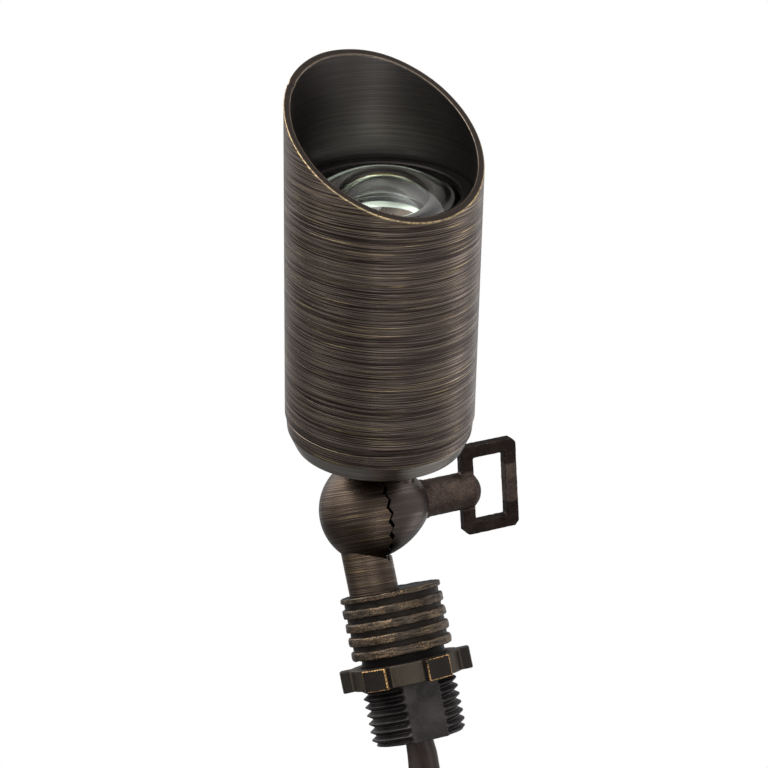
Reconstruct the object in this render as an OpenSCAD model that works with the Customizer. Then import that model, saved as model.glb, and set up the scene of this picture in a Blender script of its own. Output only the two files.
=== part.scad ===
// Brass spotlight on a serrated knuckle, with a threaded stem and a flat twin lead.
// Millimetres, +Z up along the stem. The origin is on the stem's axis, where the locknut's
// underside meets the threaded shank, so a spike or a box seats at z = 0 from below.
// +X is the knuckle's axis on the thumbscrew side, and the head leans towards -Y.

/* [Threaded shank and locknut] */
// Outer diameter of the shank's thread
thread_dia = 20.9; // [19:0.1:24]
// Diameter at the root of the thread, where the locknut runs
thread_core_dia = 19.2; // [17.5:0.1:19.2]
// Length of the shank below the locknut
thread_len = 12.7; // [8:0.1:25]
// Depth of the two flats that are milled along the shank
flat_depth = 0.7; // [0.2:0.05:0.75]
// Turn of the flats about the stem
flat_turn = -7; // [-45:1:45]
// Height of the locknut
nut_height = 4.6; // [3:0.1:7]
// Diameter across the locknut's lugs
nut_lug_dia = 29; // [27:0.1:34]
// Diameter of the locknut between its lugs
nut_body_dia = 24.4; // [22.5:0.1:26]
// Width of one lug
nut_lug_w = 5.7; // [3:0.1:7]
// Number of lugs
nut_lugs = 6; // [4:1:8]
// Turn of the locknut about the stem
nut_turn = 9.5; // [0:0.5:60]
// Visible length of the relief above the locknut
relief_len = 1.8; // [0.8:0.1:4]
// Diameter of the relief
relief_dia = 18.4; // [17:0.1:19]

/* [Ribbed collar] */
// Length of the collar
collar_len = 13.7; // [11:0.1:22]
// Diameter at the root of the ribs
collar_dia = 20.9; // [20:0.1:24]
// Height of a rib above its root
rib_rise = 0.7; // [0.3:0.05:1.2]
// Distance from one rib to the next
rib_pitch = 3.08; // [2.4:0.02:3.1]
// Width of a rib
rib_w = 1.65; // [1:0.05:2]
// Number of full ribs below the top lip
rib_count = 4; // [2:1:4]
// Width of the lip at the collar's top
lip_w = 1.1; // [0.6:0.1:1.6]
// Chamfer on a rib's corners
rib_chamfer = 0.25; // [0.05:0.05:0.3]

/* [Stem tube] */
// Outer diameter of the tube
tube_dia = 10.9; // [9:0.1:11.5]
// How far the tube stands to the side of the shank's axis
tube_offset = 3.7; // [3:0.1:4.2]
// Bore of the tube for the wires
tube_bore_dia = 5.6; // [4:0.1:6]
// Depth of the tube's socket in the collar
socket_depth = 5; // [3:0.5:7]
// Height of the knuckle's centre above the collar
knuckle_rise = 17.9; // [16:0.1:40]

/* [Knuckle] */
// Diameter of the lower arm's ball half
ball_dia = 24; // [22:0.1:25]
// Place of the seam along the knuckle's axis
seam_x = -0.6; // [-1:0.02:0]
// Number of serrations round the seam
tooth_count = 24; // [16:1:36]
// Depth of a serration at the ball's surface
tooth_depth = 0.9; // [0.4:0.05:1.2]
// Running clearance between the two crowns of serrations
tooth_gap = 0.3; // [0.04:0.01:0.4]
// Diameter of the wire space inside the knuckle
cavity_dia = 14.4; // [13:0.1:16]
// Depth of the wire space in each half
cavity_depth = 5; // [3:0.1:6]
// Diameter of the post round the screw
post_dia = 8; // [7:0.1:9]
// Diameter of the upper arm at the seam
arm_dia = 21.4; // [20:0.1:22]
// Diameter of the upper arm at the thumbscrew
arm_end_dia = 8.8; // [8.6:0.1:12]
// Reach of the upper arm from the seam to the thumbscrew
arm_reach = 11.8; // [11:0.1:16]
// Radius of the upper arm's rounded side
arm_bulge_r = 19; // [12:0.1:30]
// Tilt of the head from the stem
head_tilt = 32; // [0:1:80]

/* [Thumbscrew] */
// Diameter of the stud
stud_dia = 4.8; // [4:0.1:5]
// How far the stud reaches past the seam into the lower arm
stud_reach = 7.5; // [4:0.1:8]
// How far the stud is pressed into the thumbscrew
stud_grip = 5; // [3:0.1:7]
// Thickness of the washer
washer_t = 0.7; // [0.4:0.1:1.2]
// Diameter of the washer
washer_dia = 8.8; // [8:0.1:9.4]
// Diameter of the thumbscrew's barrel
barrel_dia = 8.3; // [7:0.1:8.6]
// Length of the barrel with its domed end
barrel_len = 13.7; // [10:0.1:18]
// Height of the domed end
barrel_dome = 2.5; // [1.5:0.1:3.5]
// Width of the loop along the knuckle's axis
loop_w = 13.6; // [12:0.1:18]
// Height of the loop
loop_h = 20.8; // [16:0.1:30]
// Width of the loop's bars
loop_bar = 2.9; // [2:0.1:3.5]
// Thickness of the loop
loop_t = 2.5; // [2:0.1:3.5]
// Chamfer on the loop's outer corners
loop_chamfer = 1; // [0.5:0.1:2.5]
// How far the barrel's tip reaches past the inner bar
loop_tip = 1.6; // [0.5:0.1:2.2]
// Turn of the loop about the knuckle's axis
loop_turn = 21; // [-90:1:90]

/* [Head] */
// Outer diameter of the shroud
head_dia = 40.8; // [40.4:0.1:46]
// Shift of the head's axis from the ball's centre
head_shift = 1.14; // [0:0.02:1.6]
// Distance from the knuckle's centre to the flat bottom of the head
head_rise = 17; // [16:0.1:22]
// How far the flat bottom stays inside the shroud's side
bottom_inset = 2.3; // [2:0.1:5]
// Height of the polished band
band_h = 4; // [2:0.1:5]
// How far the bright edge above the band stays inside the shroud's side
edge_inset = 0.5; // [0.3:0.05:1.9]
// Height of the base between the bright edge and the shroud
base_h = 3.2; // [2:0.1:8]
// How far the base under the shroud stays inside the shroud's side
base_inset = 0.2; // [0.1:0.05:0.6]
// Thickness of the base's floor
floor_t = 3.8; // [2.5:0.1:4.5]
// Clearance between the lamp housing and the shroud, on the radius
housing_gap = 0.3; // [0.2:0.05:0.5]
// Length of the lamp housing above the base
housing_len = 49.6; // [49:0.1:60]
// Wall of the housing above the lamp plate
housing_wall = 2.3; // [2.2:0.1:2.5]
// Wall of the housing round the driver
driver_wall = 3.3; // [3:0.1:3.7]

/* [Shroud] */
// Wall of the shroud
shroud_wall = 1.4; // [1:0.05:1.6]
// Length of the shroud on its axis
shroud_len = 63.4; // [60:0.1:90]
// Slope of the shroud's cut end
cut_angle = 29.7; // [15:0.1:35]
// Turn of the shroud about its axis
shroud_turn = 9; // [-180:1:180]
// Chamfer at the shroud's lower edge
shroud_chamfer = 0.35; // [0.1:0.05:0.5]

/* [Lens and lamp] */
// Wall of the housing round the lens
lens_wall = 1.4; // [1.3:0.1:1.6]
// Thickness of the lens's flange
lens_flange_t = 2.6; // [1.5:0.1:3.5]
// Width of the lens's flange round its dome
lens_flange_w = 1.6; // [1.5:0.1:3]
// Height of the lens's dome above its flange
lens_dome_h = 5.6; // [3:0.1:8]
// Thickness of the lens's gasket
gasket_t = 1.2; // [0.6:0.1:2]
// Thickness of the lens ring over the housing
lens_ring_t = 1.5; // [1:0.1:2.5]
// How far the lens ring reaches over the lens's flange
lens_ring_lap = 1.3; // [0.7:0.1:1.4]
// Distance from the base's shoulder to the lamp plate
plate_rise = 33; // [24:0.1:36]
// Thickness of the lamp plate
plate_t = 2.5; // [1.5:0.1:4]
// Diameter of the light-emitter board
led_board_dia = 24; // [23.6:0.1:27]
// Thickness of both circuit boards
board_t = 1.6; // [1:0.1:2]
// Width of the light emitter's square case
led_w = 5; // [3:0.1:6]
// Height of the light emitter's case
led_h = 0.8; // [0.5:0.1:1.5]
// Diameter of the light emitter's dome
led_dome_dia = 3.4; // [2:0.1:4]
// Gap round the driver board
driver_gap = 2.4; // [1.4:0.1:3.4]
// Distance of the driver board below the lamp plate
driver_drop = 11.4; // [10:0.1:12]
// Wall of the reflector
reflector_wall = 0.7; // [0.5:0.1:1]
// Inner diameter of the reflector at the light emitter
reflector_low_dia = 10; // [8:0.1:11]

/* [Neck between knuckle and head] */
// Diameter of the neck
neck_dia = 9; // [8:0.1:9.4]
// Place of the neck along the knuckle's axis
neck_x = 4.9; // [4.9:0.1:6]
// Diameter of the neck's flange
flange_dia = 16.4; // [16:0.1:20]
// Thickness of the neck's flange
flange_t = 3.2; // [3:0.1:3.4]
// Thickness of the gasket under the head
arm_gasket_t = 1; // [0.5:0.1:1.5]
// Diameter of the threaded nipple
nipple_dia = 9.8; // [8:0.1:10]
// Bore of the nipple and the neck for the wires
wire_bore_dia = 4.6; // [3.5:0.1:5]
// Width of the nipple's nut across its flats
arm_nut_w = 13; // [12:0.1:14]
// Height of the nipple's nut
arm_nut_h = 3.5; // [2.5:0.1:4]

/* [Lead] */
// Width of the flat twin lead
cord_w = 7.6; // [6:0.1:8.2]
// Thickness of the lead
cord_t = 3.8; // [3:0.1:4.2]
// Diameter of one insulated wire inside the stem and the head
wire_dia = 1.6; // [1:0.1:1.8]
// Length of the split ends
lead_len = 22; // [15:1:60]
// Length of bare strands on each split end
strand_len = 8; // [5:1:15]
// Diameter of the bare strands
strand_dia = 1.2; // [0.8:0.1:1.4]
// Radius of the hank's outer end loops
hank_r = 23; // [21:0.5:30]
// Length of the hank's straight runs
hank_run = 96; // [80:1:120]
// Step from one turn of the hank to the next
hank_step = 4.8; // [4.6:0.1:5.5]
// Step from one layer of the hank to the next
hank_layer = 8.5; // [8.2:0.1:10]
// How far the hank is drawn in at its waist
hank_waist = 11; // [0:0.5:11]
// Width of the tie's band
tie_w = 3.6; // [2:0.1:6]
// Thickness of the tie's band
tie_t = 1; // [0.6:0.1:2]

/* [Hidden] */
$fn = 72;

// How far a cut runs past the solid that it cuts
over = 1;
// Running clearance of a shaft in its bore, on the radius
run_gap = 0.05;
// Clearance between pieces that are pushed together, on the radius
slip_gap = 0.1;

// Heights along the stem
relief_share = 0.87;
relief_z = nut_height * relief_share;
collar_z = nut_height + relief_len;
collar_top_z = collar_z + collar_len;
socket_z = collar_top_z - socket_depth;
ball_z = collar_top_z + knuckle_rise;
shank_chamfer = 0.8;

// Bore of the shank, and the wire way that joins it to the tube
shank_bore_dia = 14.8;
wire_way_len = 5;
shank_bore_top_z = socket_z - wire_way_len;
wire_bend_len = 8;
cord_inner_top_z = shank_bore_top_z - wire_bend_len;
bush_len = 9.5;

// Places along the knuckle's axis
arm_x = seam_x + tooth_gap;
arm_end_x = arm_x + arm_reach;
barrel_x = arm_end_x + washer_t;
barrel_tip_x = barrel_x + barrel_len;
loop_x = barrel_tip_x - loop_tip - loop_bar;
stud_x = seam_x - stud_reach;
screw_way_gap = 0.4;
screw_way_dia = stud_dia + 2 * screw_way_gap;
arm_swing_gap = 0.2;

// Diameters of the head, all led from the shroud's
shroud_bore_dia = head_dia - 2 * shroud_wall;
bottom_dia = head_dia - 2 * bottom_inset;
edge_dia = head_dia - 2 * edge_inset;
base_dia = head_dia - 2 * base_inset;
housing_dia = shroud_bore_dia - 2 * housing_gap;
housing_bore_dia = housing_dia - 2 * housing_wall;
driver_bore_dia = housing_dia - 2 * driver_wall;
driver_dia = driver_bore_dia - 2 * driver_gap;
lens_seat_dia = housing_dia - 2 * lens_wall;
lens_dia = lens_seat_dia - 2 * slip_gap;
lens_dome_dia = lens_dia - 2 * lens_flange_w;
lens_ring_bore_dia = lens_dia - 2 * lens_ring_lap;
gasket_inset = 0.5;

// Heights along the head's axis, measured from the knuckle's centre
edge_t = head_rise + band_h;
shoulder_t = edge_t + base_h;
floor_top_t = head_rise + floor_t;
housing_top_t = shoulder_t + housing_len;
plate_seat_t = shoulder_t + plate_rise;
plate_top_t = plate_seat_t + plate_t;
led_board_top_t = plate_top_t + board_t;
flange_top_t = head_rise - arm_gasket_t;
nipple_end = 1.6;
nipple_top_t = floor_top_t + arm_nut_h + nipple_end;
driver_top_t = plate_seat_t - driver_drop;
driver_low_t = driver_top_t - board_t;
lens_sink = 0.3;
lens_t = housing_top_t - lens_flange_t - lens_sink;
lens_seat_t = lens_t - gasket_t;
lens_top_t = lens_t + lens_flange_t;
ring_lip_t = 0.3;

// Seals in grooves of the housing, thick enough to reach the shroud's bore
seal_groove_w = 2;
seal_groove_depth = 1;
seal_t = housing_gap + seal_groove_depth - 2 * run_gap;
seal_inset = 8;
seal_places = [shoulder_t + seal_inset, housing_top_t - seal_inset];

// How far a wire lies from the middle of its pair, as a share of its diameter
wire_side_share = 0.7;
// How far a wire rises straight before its first bend, in its diameters
wire_rise_share = 1.4;
// Diameter of the round joint at a wire's bend, as a share of the wire's
wire_joint_share = 1.06;

// Small fasteners and parts of the driver
screw_head_dia = 2.8;
screw_place_r = (led_board_dia - screw_head_dia) / 2;
screw_head_h = 0.8;
screw_shank_dia = 1.6;
screw_shank_len = 3.2;
spacer_place_r = 10;
spacer_dia = 4;
capacitor_dia = 8;
capacitor_h = 8.6;
coil_dia = 7.4;
coil_h = 5.5;
bridge_size = [6.4, 5, 2.4];
capacitor_place = [-7.2, 3];
coil_place = [6.6, 4.4];
bridge_place = [0.4, -5];

// The lead's route from the shank to the hank, chosen by hand
cord_steps = [
    [-0.3, 0, 0], [-0.3, 0, -2], [-0.3, 0, -4], [-0.5, 0, -6.5], [-0.8, 0, -9.5],
    [-1.2, 0, -12.5], [-1.5, 0, -15.5], [-1.7, 0, -18.5], [-1.9, 0, -21.5], [-2, 0, -25],
    [-2, 0, -28.5], [-2, 0, -32], [-2, 0, -36]
];
cord_route = [for (p = cord_steps) p - [0, 0, thread_len]];
// Turn of the flat lead about its own axis where it leaves the shank, and at the hank
cord_twist_start = -76;
cord_twist_end = 0;
cord_x = cord_route[0].x;
hank_top = cord_route[len(cord_route) - 1];
hank_lead_in = 9;
hank_centre = hank_top - [0, hank_r, hank_run / 2 + hank_lead_in];
hank_tail = 16;

// Section of the twin lead as shares of its half width and half thickness, 6 points
flat_shares = [[1, 0], [0.5, 1], [-0.5, 1], [-1, 0], [-0.5, -1], [0.5, -1]];
// How deep the groove between the two wires leaves the lead, as a share of its thickness
groove_share = 0.62;
// Turns of the hank: loops in all, and the turns at which the climb starts and ends
rings_per_loop = 24;
hank_loops = 3;
climb_from = 1.5;
climb_to = 1.75;
hank_inner_r = hank_r - climb_to * hank_step;
hank_outward = (hank_r - hank_inner_r) / (hank_loops - climb_to);

function unit(v) = v / norm(v);
function mix(a, b, share) = a + (b - a) * share;

// Twin section with two round wires and a groove, 12 points in millimetres
function twin_section() =
    let (
        wire = cord_t / 2,
        side = cord_w / 2 - wire,
        lobe = [for (a = [-60:30:60]) [side + wire * cos(a), wire * sin(a)]],
        far = [for (a = [120:30:240]) [-side + wire * cos(a), wire * sin(a)]]
    )
    concat(lobe, [[0, wire * groove_share]], far, [[0, -wire * groove_share]]);

// Plain flat section, 6 points in millimetres
function flat_section() =
    [for (p = flat_shares) [p.x * cord_w / 2, p.y * cord_t / 2]];

// Direction of travel at point i of a path
function heading(path, i) =
    let (n = len(path) - 1)
    unit(path[min(i + 1, n)] - path[max(i - 1, 0)]);

// One ring of a swept tube. wide is the direction of the section's first axis
function ring(centre, along, wide, section) =
    let (
        thin = unit(cross(along, wide)),
        flat = unit(cross(thin, along))
    )
    [for (p = section) centre + flat * p.x + thin * p.y];

// Triangles of a tube with the given count of rings and sides, with its two ends
function tube_faces(rings, sides) =
    let (last = (rings - 1) * sides)
    concat(
        [for (i = [0:rings - 2], j = [0:sides - 1], half = [0, 1])
            let (
                k = (j + 1) % sides,
                a = i * sides + j,
                b = i * sides + k,
                c = a + sides,
                d = b + sides
            )
            half == 0 ? [a, b, c] : [b, d, c]],
        [for (j = [1:sides - 2]) [0, j + 1, j]],
        [for (j = [1:sides - 2]) [last, last + j, last + j + 1]]
    );

module tube(path, wides, section) {
    rings = [
        for (i = [0:len(path) - 1])
            each ring(path[i], heading(path, i), wides[i], section)
    ];
    polyhedron(points = rings, faces = tube_faces(len(path), len(section)));
}

// Twist of the lead at point i of its route
function route_wide(i) =
    let (
        share = i / (len(cord_route) - 1),
        a = mix(cord_twist_start, cord_twist_end, share)
    )
    [cos(a), sin(a), 0];

// Hank: radius of the end loops, layer and place for ring i
function hank_radius(turn) =
    turn < climb_to ? hank_r - hank_step * turn
    : min(hank_r, hank_inner_r + hank_outward * (turn - climb_to));
function hank_height(turn) =
    turn <= climb_from ? 0
    : turn >= climb_to ? hank_layer
    : hank_layer * (1 - cos(180 * (turn - climb_from) / (climb_to - climb_from))) / 2;
function waist_in(z) = hank_waist * pow(cos(180 * z / hank_run), 2);
function hank_point(i) =
    let (
        turn = i / rings_per_loop,
        quarter = rings_per_loop / 4,
        leg = floor(i / quarter) % 4,
        share = (i % quarter) / quarter,
        r = hank_radius(turn),
        x = hank_height(turn),
        half = hank_run / 2,
        down = half - hank_run * share,
        a = 180 * share
    )
    leg == 0 ? [x, r - waist_in(down), down]
    : leg == 1 ? [x, r * cos(a), -half - r * sin(a)]
    : leg == 2 ? [x, -(r - waist_in(down)), -down]
    : [x, -r * cos(a), half + r * sin(a)];
hank_rings = hank_loops * rings_per_loop + rings_per_loop / 4;
hank_line = [for (i = [0:hank_rings]) hank_point(i)];
hank_end = hank_line[hank_rings] - [0, 0, hank_tail];
hank_path = concat(
    [hank_top],
    [for (p = concat(hank_line, [hank_end + [0, 0, hank_tail / 2], hank_end])) p + hank_centre]
);
lead_start = hank_path[len(hank_path) - 1];
lead_spread_angle = 5;
lead_gap = 0.15;

// Length of a path, and the least gap between stretches of the hank that lie side by side
function path_length(path) =
    [for (i = 0, s = 0; i < len(path); s = s + (i > 0 ? norm(path[i] - path[i - 1]) : 0), i = i + 1)
        s + (i > 0 ? norm(path[i] - path[i - 1]) : 0)][len(path) - 1];
function flat_gap(a, b) =
    let (
        across = max(0, abs(a.x - b.x) - cord_w),
        beside = max(0, norm([a.y - b.y, a.z - b.z]) - cord_t)
    )
    norm([across, beside]);
function middle(path, i, share) = mix(path[i], path[i + 1], share);
function least_gap(path) =
    let (apart = rings_per_loop / 3)
    min([
        for (i = [0:len(path) - 2], j = [i + apart:1:len(path) - 2], f = [0, 0.5], g = [0, 0.5])
            flat_gap(middle(path, i, f), middle(path, j, g))
    ]);

echo(lead_free_length = path_length(cord_route), hank_length = path_length(hank_path));
echo(hank_least_gap = least_gap(hank_path));

// Frames of the knuckle, of the head and of the shroud
module at_knuckle() {
    translate([0, 0, ball_z]) children();
}
module in_arm() {
    at_knuckle() rotate([head_tilt, 0, 0]) children();
}
module in_head() {
    in_arm() translate([head_shift, 0, 0]) children();
}
module along_x() {
    rotate([0, 90, 0]) children();
}
module ring_of(outer, inner, height) {
    difference() {
        cylinder(d = outer, h = height);
        translate([0, 0, -over]) cylinder(d = inner, h = height + 2 * over);
    }
}
// A wire of round section along points, with rounded corners
module wire_along(points, dia) {
    for (i = [0:len(points) - 2]) {
        step = points[i + 1] - points[i];
        lean = acos(step.z / norm(step));
        turn = atan2(step.y, step.x);
        translate(points[i]) rotate([0, lean, turn]) cylinder(d = dia, h = norm(step), $fn = 24);
    }
    for (i = [1:1:len(points) - 2]) {
        translate(points[i]) sphere(d = dia * wire_joint_share, $fn = 24);
    }
}
// Radial V cuts of a serrated face. The face is the plane x = 0 and the solid lies at x < 0
module serration_cuts(dia, depth, count, phase) {
    r = dia / 2;
    half_w = r * tan(180 / count);
    reach = 1.5;
    from = cavity_dia / 2 - depth;
    slope = atan(depth / r);
    for (k = [0:count - 1]) {
        rotate([phase + k * 360 / count, 0, 0])
            rotate([0, -slope, 0])
                translate([0, 0, from])
                    linear_extrude(height = r - from + depth / 4)
                        polygon([[0, 0], [reach * depth, reach * half_w], [reach * depth, -reach * half_w]]);
    }
}

// Ribbed collar, relief and threaded shank in one casting
module stem_base() {
    root = collar_dia / 2;
    crest = root + rib_rise;
    first = collar_z + rib_w / 2;
    ribs = [
        for (k = [0:rib_count - 1])
            let (z = first + k * rib_pitch, w = rib_w / 2, c = rib_chamfer)
            each [
                [root, z - w], [crest - c, z - w], [crest, z - w + c],
                [crest, z + w - c], [crest - c, z + w], [root, z + w]
            ]
    ];
    lip = [
        [root, collar_top_z - lip_w], [crest - rib_chamfer, collar_top_z - lip_w],
        [crest, collar_top_z - lip_w + rib_chamfer], [crest, collar_top_z - rib_chamfer],
        [crest - rib_chamfer, collar_top_z]
    ];
    shank = [
        [0, -thread_len], [thread_dia / 2 - shank_chamfer, -thread_len],
        [thread_dia / 2, -thread_len + shank_chamfer], [thread_dia / 2, 0],
        [thread_core_dia / 2, 0], [thread_core_dia / 2, relief_z], [relief_dia / 2, relief_z],
        [relief_dia / 2, collar_z]
    ];
    color([0.2, 0.15, 0.11])
    difference() {
        rotate_extrude() polygon(concat(shank, ribs, lip, [[0, collar_top_z]]));
        for (side = [0, 180]) {
            rotate([0, 0, flat_turn + side])
                translate([-thread_dia, thread_dia / 2 - flat_depth, -thread_len - over])
                    cube([2 * thread_dia, thread_dia, thread_len + over]);
        }
        translate([0, 0, -thread_len - over])
            cylinder(d = shank_bore_dia, h = shank_bore_top_z + thread_len + over);
        translate([-tube_offset, 0, shank_bore_top_z - over])
            cylinder(d = tube_bore_dia, h = socket_z - shank_bore_top_z + 2 * over);
        translate([-tube_offset, 0, socket_z])
            cylinder(d = tube_dia + 2 * slip_gap, h = socket_depth + over);
    }
}

// Ball half with its crown of serrations, and the offset tube
module lower_knuckle_arm() {
    bore_top_z = ball_z - post_dia / 2;
    color([0.33, 0.25, 0.17])
    difference() {
        union() {
            at_knuckle() intersection() {
                sphere(d = ball_dia);
                translate([seam_x - ball_dia, -ball_dia, -ball_dia])
                    cube([ball_dia, 2 * ball_dia, 2 * ball_dia]);
            }
            translate([-tube_offset, 0, socket_z])
                cylinder(d = tube_dia, h = ball_z - post_dia / 2 - socket_z);
        }
        at_knuckle() translate([seam_x, 0, 0]) along_x()
            cylinder(d = arm_dia + 2 * arm_swing_gap, h = ball_dia);
        at_knuckle() translate([seam_x, 0, 0])
            serration_cuts(ball_dia, tooth_depth, tooth_count, 0);
        at_knuckle() translate([seam_x - cavity_depth, 0, 0]) along_x()
            ring_of(cavity_dia, post_dia, cavity_depth + over);
        at_knuckle() translate([stud_x - over, 0, 0]) along_x()
            cylinder(d = stud_dia + 2 * run_gap, h = stud_reach + 2 * over);
        translate([-tube_offset, 0, socket_z - over])
            cylinder(d = tube_bore_dia, h = bore_top_z - socket_z);
    }
}

// Rubber bush that closes the shank round the lead
module cord_bush() {
    color([0.06, 0.06, 0.06])
    translate([0, 0, -thread_len])
        linear_extrude(height = bush_len)
            difference() {
                circle(d = shank_bore_dia - 2 * slip_gap);
                translate([cord_x, 0]) rotate(cord_twist_start) twin_outline(slip_gap);
            }
}
module twin_outline(gap) {
    side = cord_w / 2 - cord_t / 2;
    for (x = [-side, side]) {
        translate([x, 0]) circle(d = cord_t + 2 * gap);
    }
    square([2 * side, cord_t * groove_share + 2 * gap], center = true);
}

// The lead inside the shank
module cord_inner() {
    color([0.2, 0.13, 0.09])
    translate([cord_x, 0, -thread_len])
        linear_extrude(height = thread_len + cord_inner_top_z)
            rotate(cord_twist_start) twin_outline(0);
}

// Two insulated wires from the lead up the tube into the knuckle
module stem_wires() {
    apart = cord_w / 2 - cord_t / 2;
    turn_z = shank_bore_top_z - wire_dia;
    top_z = ball_z - post_dia / 2 - wire_dia;
    color([0.08, 0.08, 0.08])
    for (s = [-1, 1]) {
        side = -s * wire_dia * wire_side_share;
        start = [cord_x, 0, cord_inner_top_z] + s * apart * [cos(cord_twist_start), sin(cord_twist_start), 0];
        wire_along([
            start, start + [0, 0, wire_dia * wire_rise_share], [-tube_offset, side, turn_z],
            [-tube_offset, side, top_z]
        ], wire_dia);
    }
}

// Lead from the shank down to the hank
module cord() {
    color([0.2, 0.13, 0.09])
        tube(cord_route, [for (i = [0:len(cord_route) - 1]) route_wide(i)], twin_section());
}
module cord_hank() {
    color([0.2, 0.13, 0.09])
        tube(hank_path, [for (p = hank_path) [1, 0, 0]], flat_section());
}

// Band with a buckle round the hank's waist
module hank_tie() {
    gap = 3 * slip_gap;
    wall = cord_t / 2 + gap;
    right = hank_r - hank_waist + wall;
    left = hank_radius(hank_loops - 3 / 8) - hank_waist + wall;
    deep = hank_layer + cord_w + 2 * gap;
    middle_x = hank_layer / 2;
    buckle = [2 * tie_w / 3, 2 * tie_w / 3 + tie_t, tie_w + 2 * tie_t];
    color([0.05, 0.05, 0.05])
    translate(hank_centre) {
        translate([middle_x, (right - left) / 2, -tie_w / 2])
            linear_extrude(height = tie_w)
                difference() {
                    round_box(deep + 2 * tie_t, right + left + 2 * tie_t, wall + tie_t);
                    round_box(deep, right + left, wall);
                }
        translate([-cord_w / 2 - gap - tie_t / 2 - buckle.x, -buckle.y / 2, -buckle.z / 2]) cube(buckle);
    }
}
module round_box(w, h, r) {
    for (x = [-1, 1], y = [-1, 1]) {
        translate([x * (w / 2 - r), y * (h / 2 - r)]) circle(r = r);
    }
    square([w, h - 2 * r], center = true);
    square([w - 2 * r, h], center = true);
}

// The lead's two split ends, and the bare strands on them
module at_lead(s) {
    translate(lead_start + [s * (cord_w - cord_t) / 2, 0, 0])
        rotate([180, -s * lead_spread_angle, 0])
            translate([0, 0, lead_gap]) children();
}
module lead_insulation() {
    color([0.2, 0.13, 0.09])
    for (s = [-1, 1]) {
        at_lead(s) cylinder(d = cord_t - 2 * slip_gap, h = lead_len);
    }
}
module lead_strands() {
    color([0.75, 0.45, 0.25])
    for (s = [-1, 1]) {
        at_lead(s) translate([0, 0, lead_len]) cylinder(d = strand_dia, h = strand_len);
    }
}

// Castellated locknut
module locknut() {
    color([0.08, 0.07, 0.06])
    rotate([0, 0, nut_turn])
        linear_extrude(height = nut_height)
            difference() {
                union() {
                    circle(d = nut_body_dia);
                    intersection() {
                        circle(d = nut_lug_dia);
                        for (k = [0:nut_lugs - 1]) {
                            rotate(k * 360 / nut_lugs)
                                translate([-nut_lug_w / 2, -nut_lug_dia])
                                    square([nut_lug_w, nut_lug_dia]);
                        }
                    }
                }
                circle(d = thread_core_dia + 2 * run_gap);
            }
}

module screw_washer() {
    color([0.5, 0.4, 0.25])
        at_knuckle() translate([arm_end_x, 0, 0]) along_x()
            ring_of(washer_dia, stud_dia + 2 * run_gap, washer_t);
}

// Barrel with a domed end, cast in one with its rectangular loop
module thumbscrew() {
    r = barrel_dia / 2;
    dome_r = (r * r + barrel_dome * barrel_dome) / (2 * barrel_dome);
    straight = barrel_len - barrel_dome;
    color([0.22, 0.16, 0.11])
    at_knuckle()
    difference() {
        union() {
            translate([barrel_x, 0, 0]) along_x() {
                cylinder(d = barrel_dia, h = straight);
                intersection() {
                    translate([0, 0, barrel_len - dome_r]) sphere(r = dome_r);
                    translate([0, 0, straight]) cylinder(d = barrel_dia, h = barrel_dome + over);
                }
            }
            rotate([loop_turn, 0, 0])
                translate([loop_x, loop_t / 2, 0])
                    rotate([90, 0, 0])
                        linear_extrude(height = loop_t) loop_outline();
        }
        translate([barrel_x - over, 0, 0]) along_x() cylinder(d = stud_dia, h = stud_grip + over);
    }
}
module loop_outline() {
    half = loop_h / 2;
    c = loop_chamfer;
    difference() {
        polygon([
            [c, -half], [loop_w - c, -half], [loop_w, -half + c], [loop_w, half - c],
            [loop_w - c, half], [c, half], [0, half - c], [0, -half + c]
        ]);
        translate([loop_bar, loop_bar - half]) square([loop_w - 2 * loop_bar, loop_h - 2 * loop_bar]);
    }
}
module thumbscrew_stud() {
    color([0.6, 0.5, 0.3])
        at_knuckle() translate([stud_x, 0, 0]) along_x()
            cylinder(d = stud_dia, h = barrel_x + stud_grip - stud_x);
}

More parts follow.
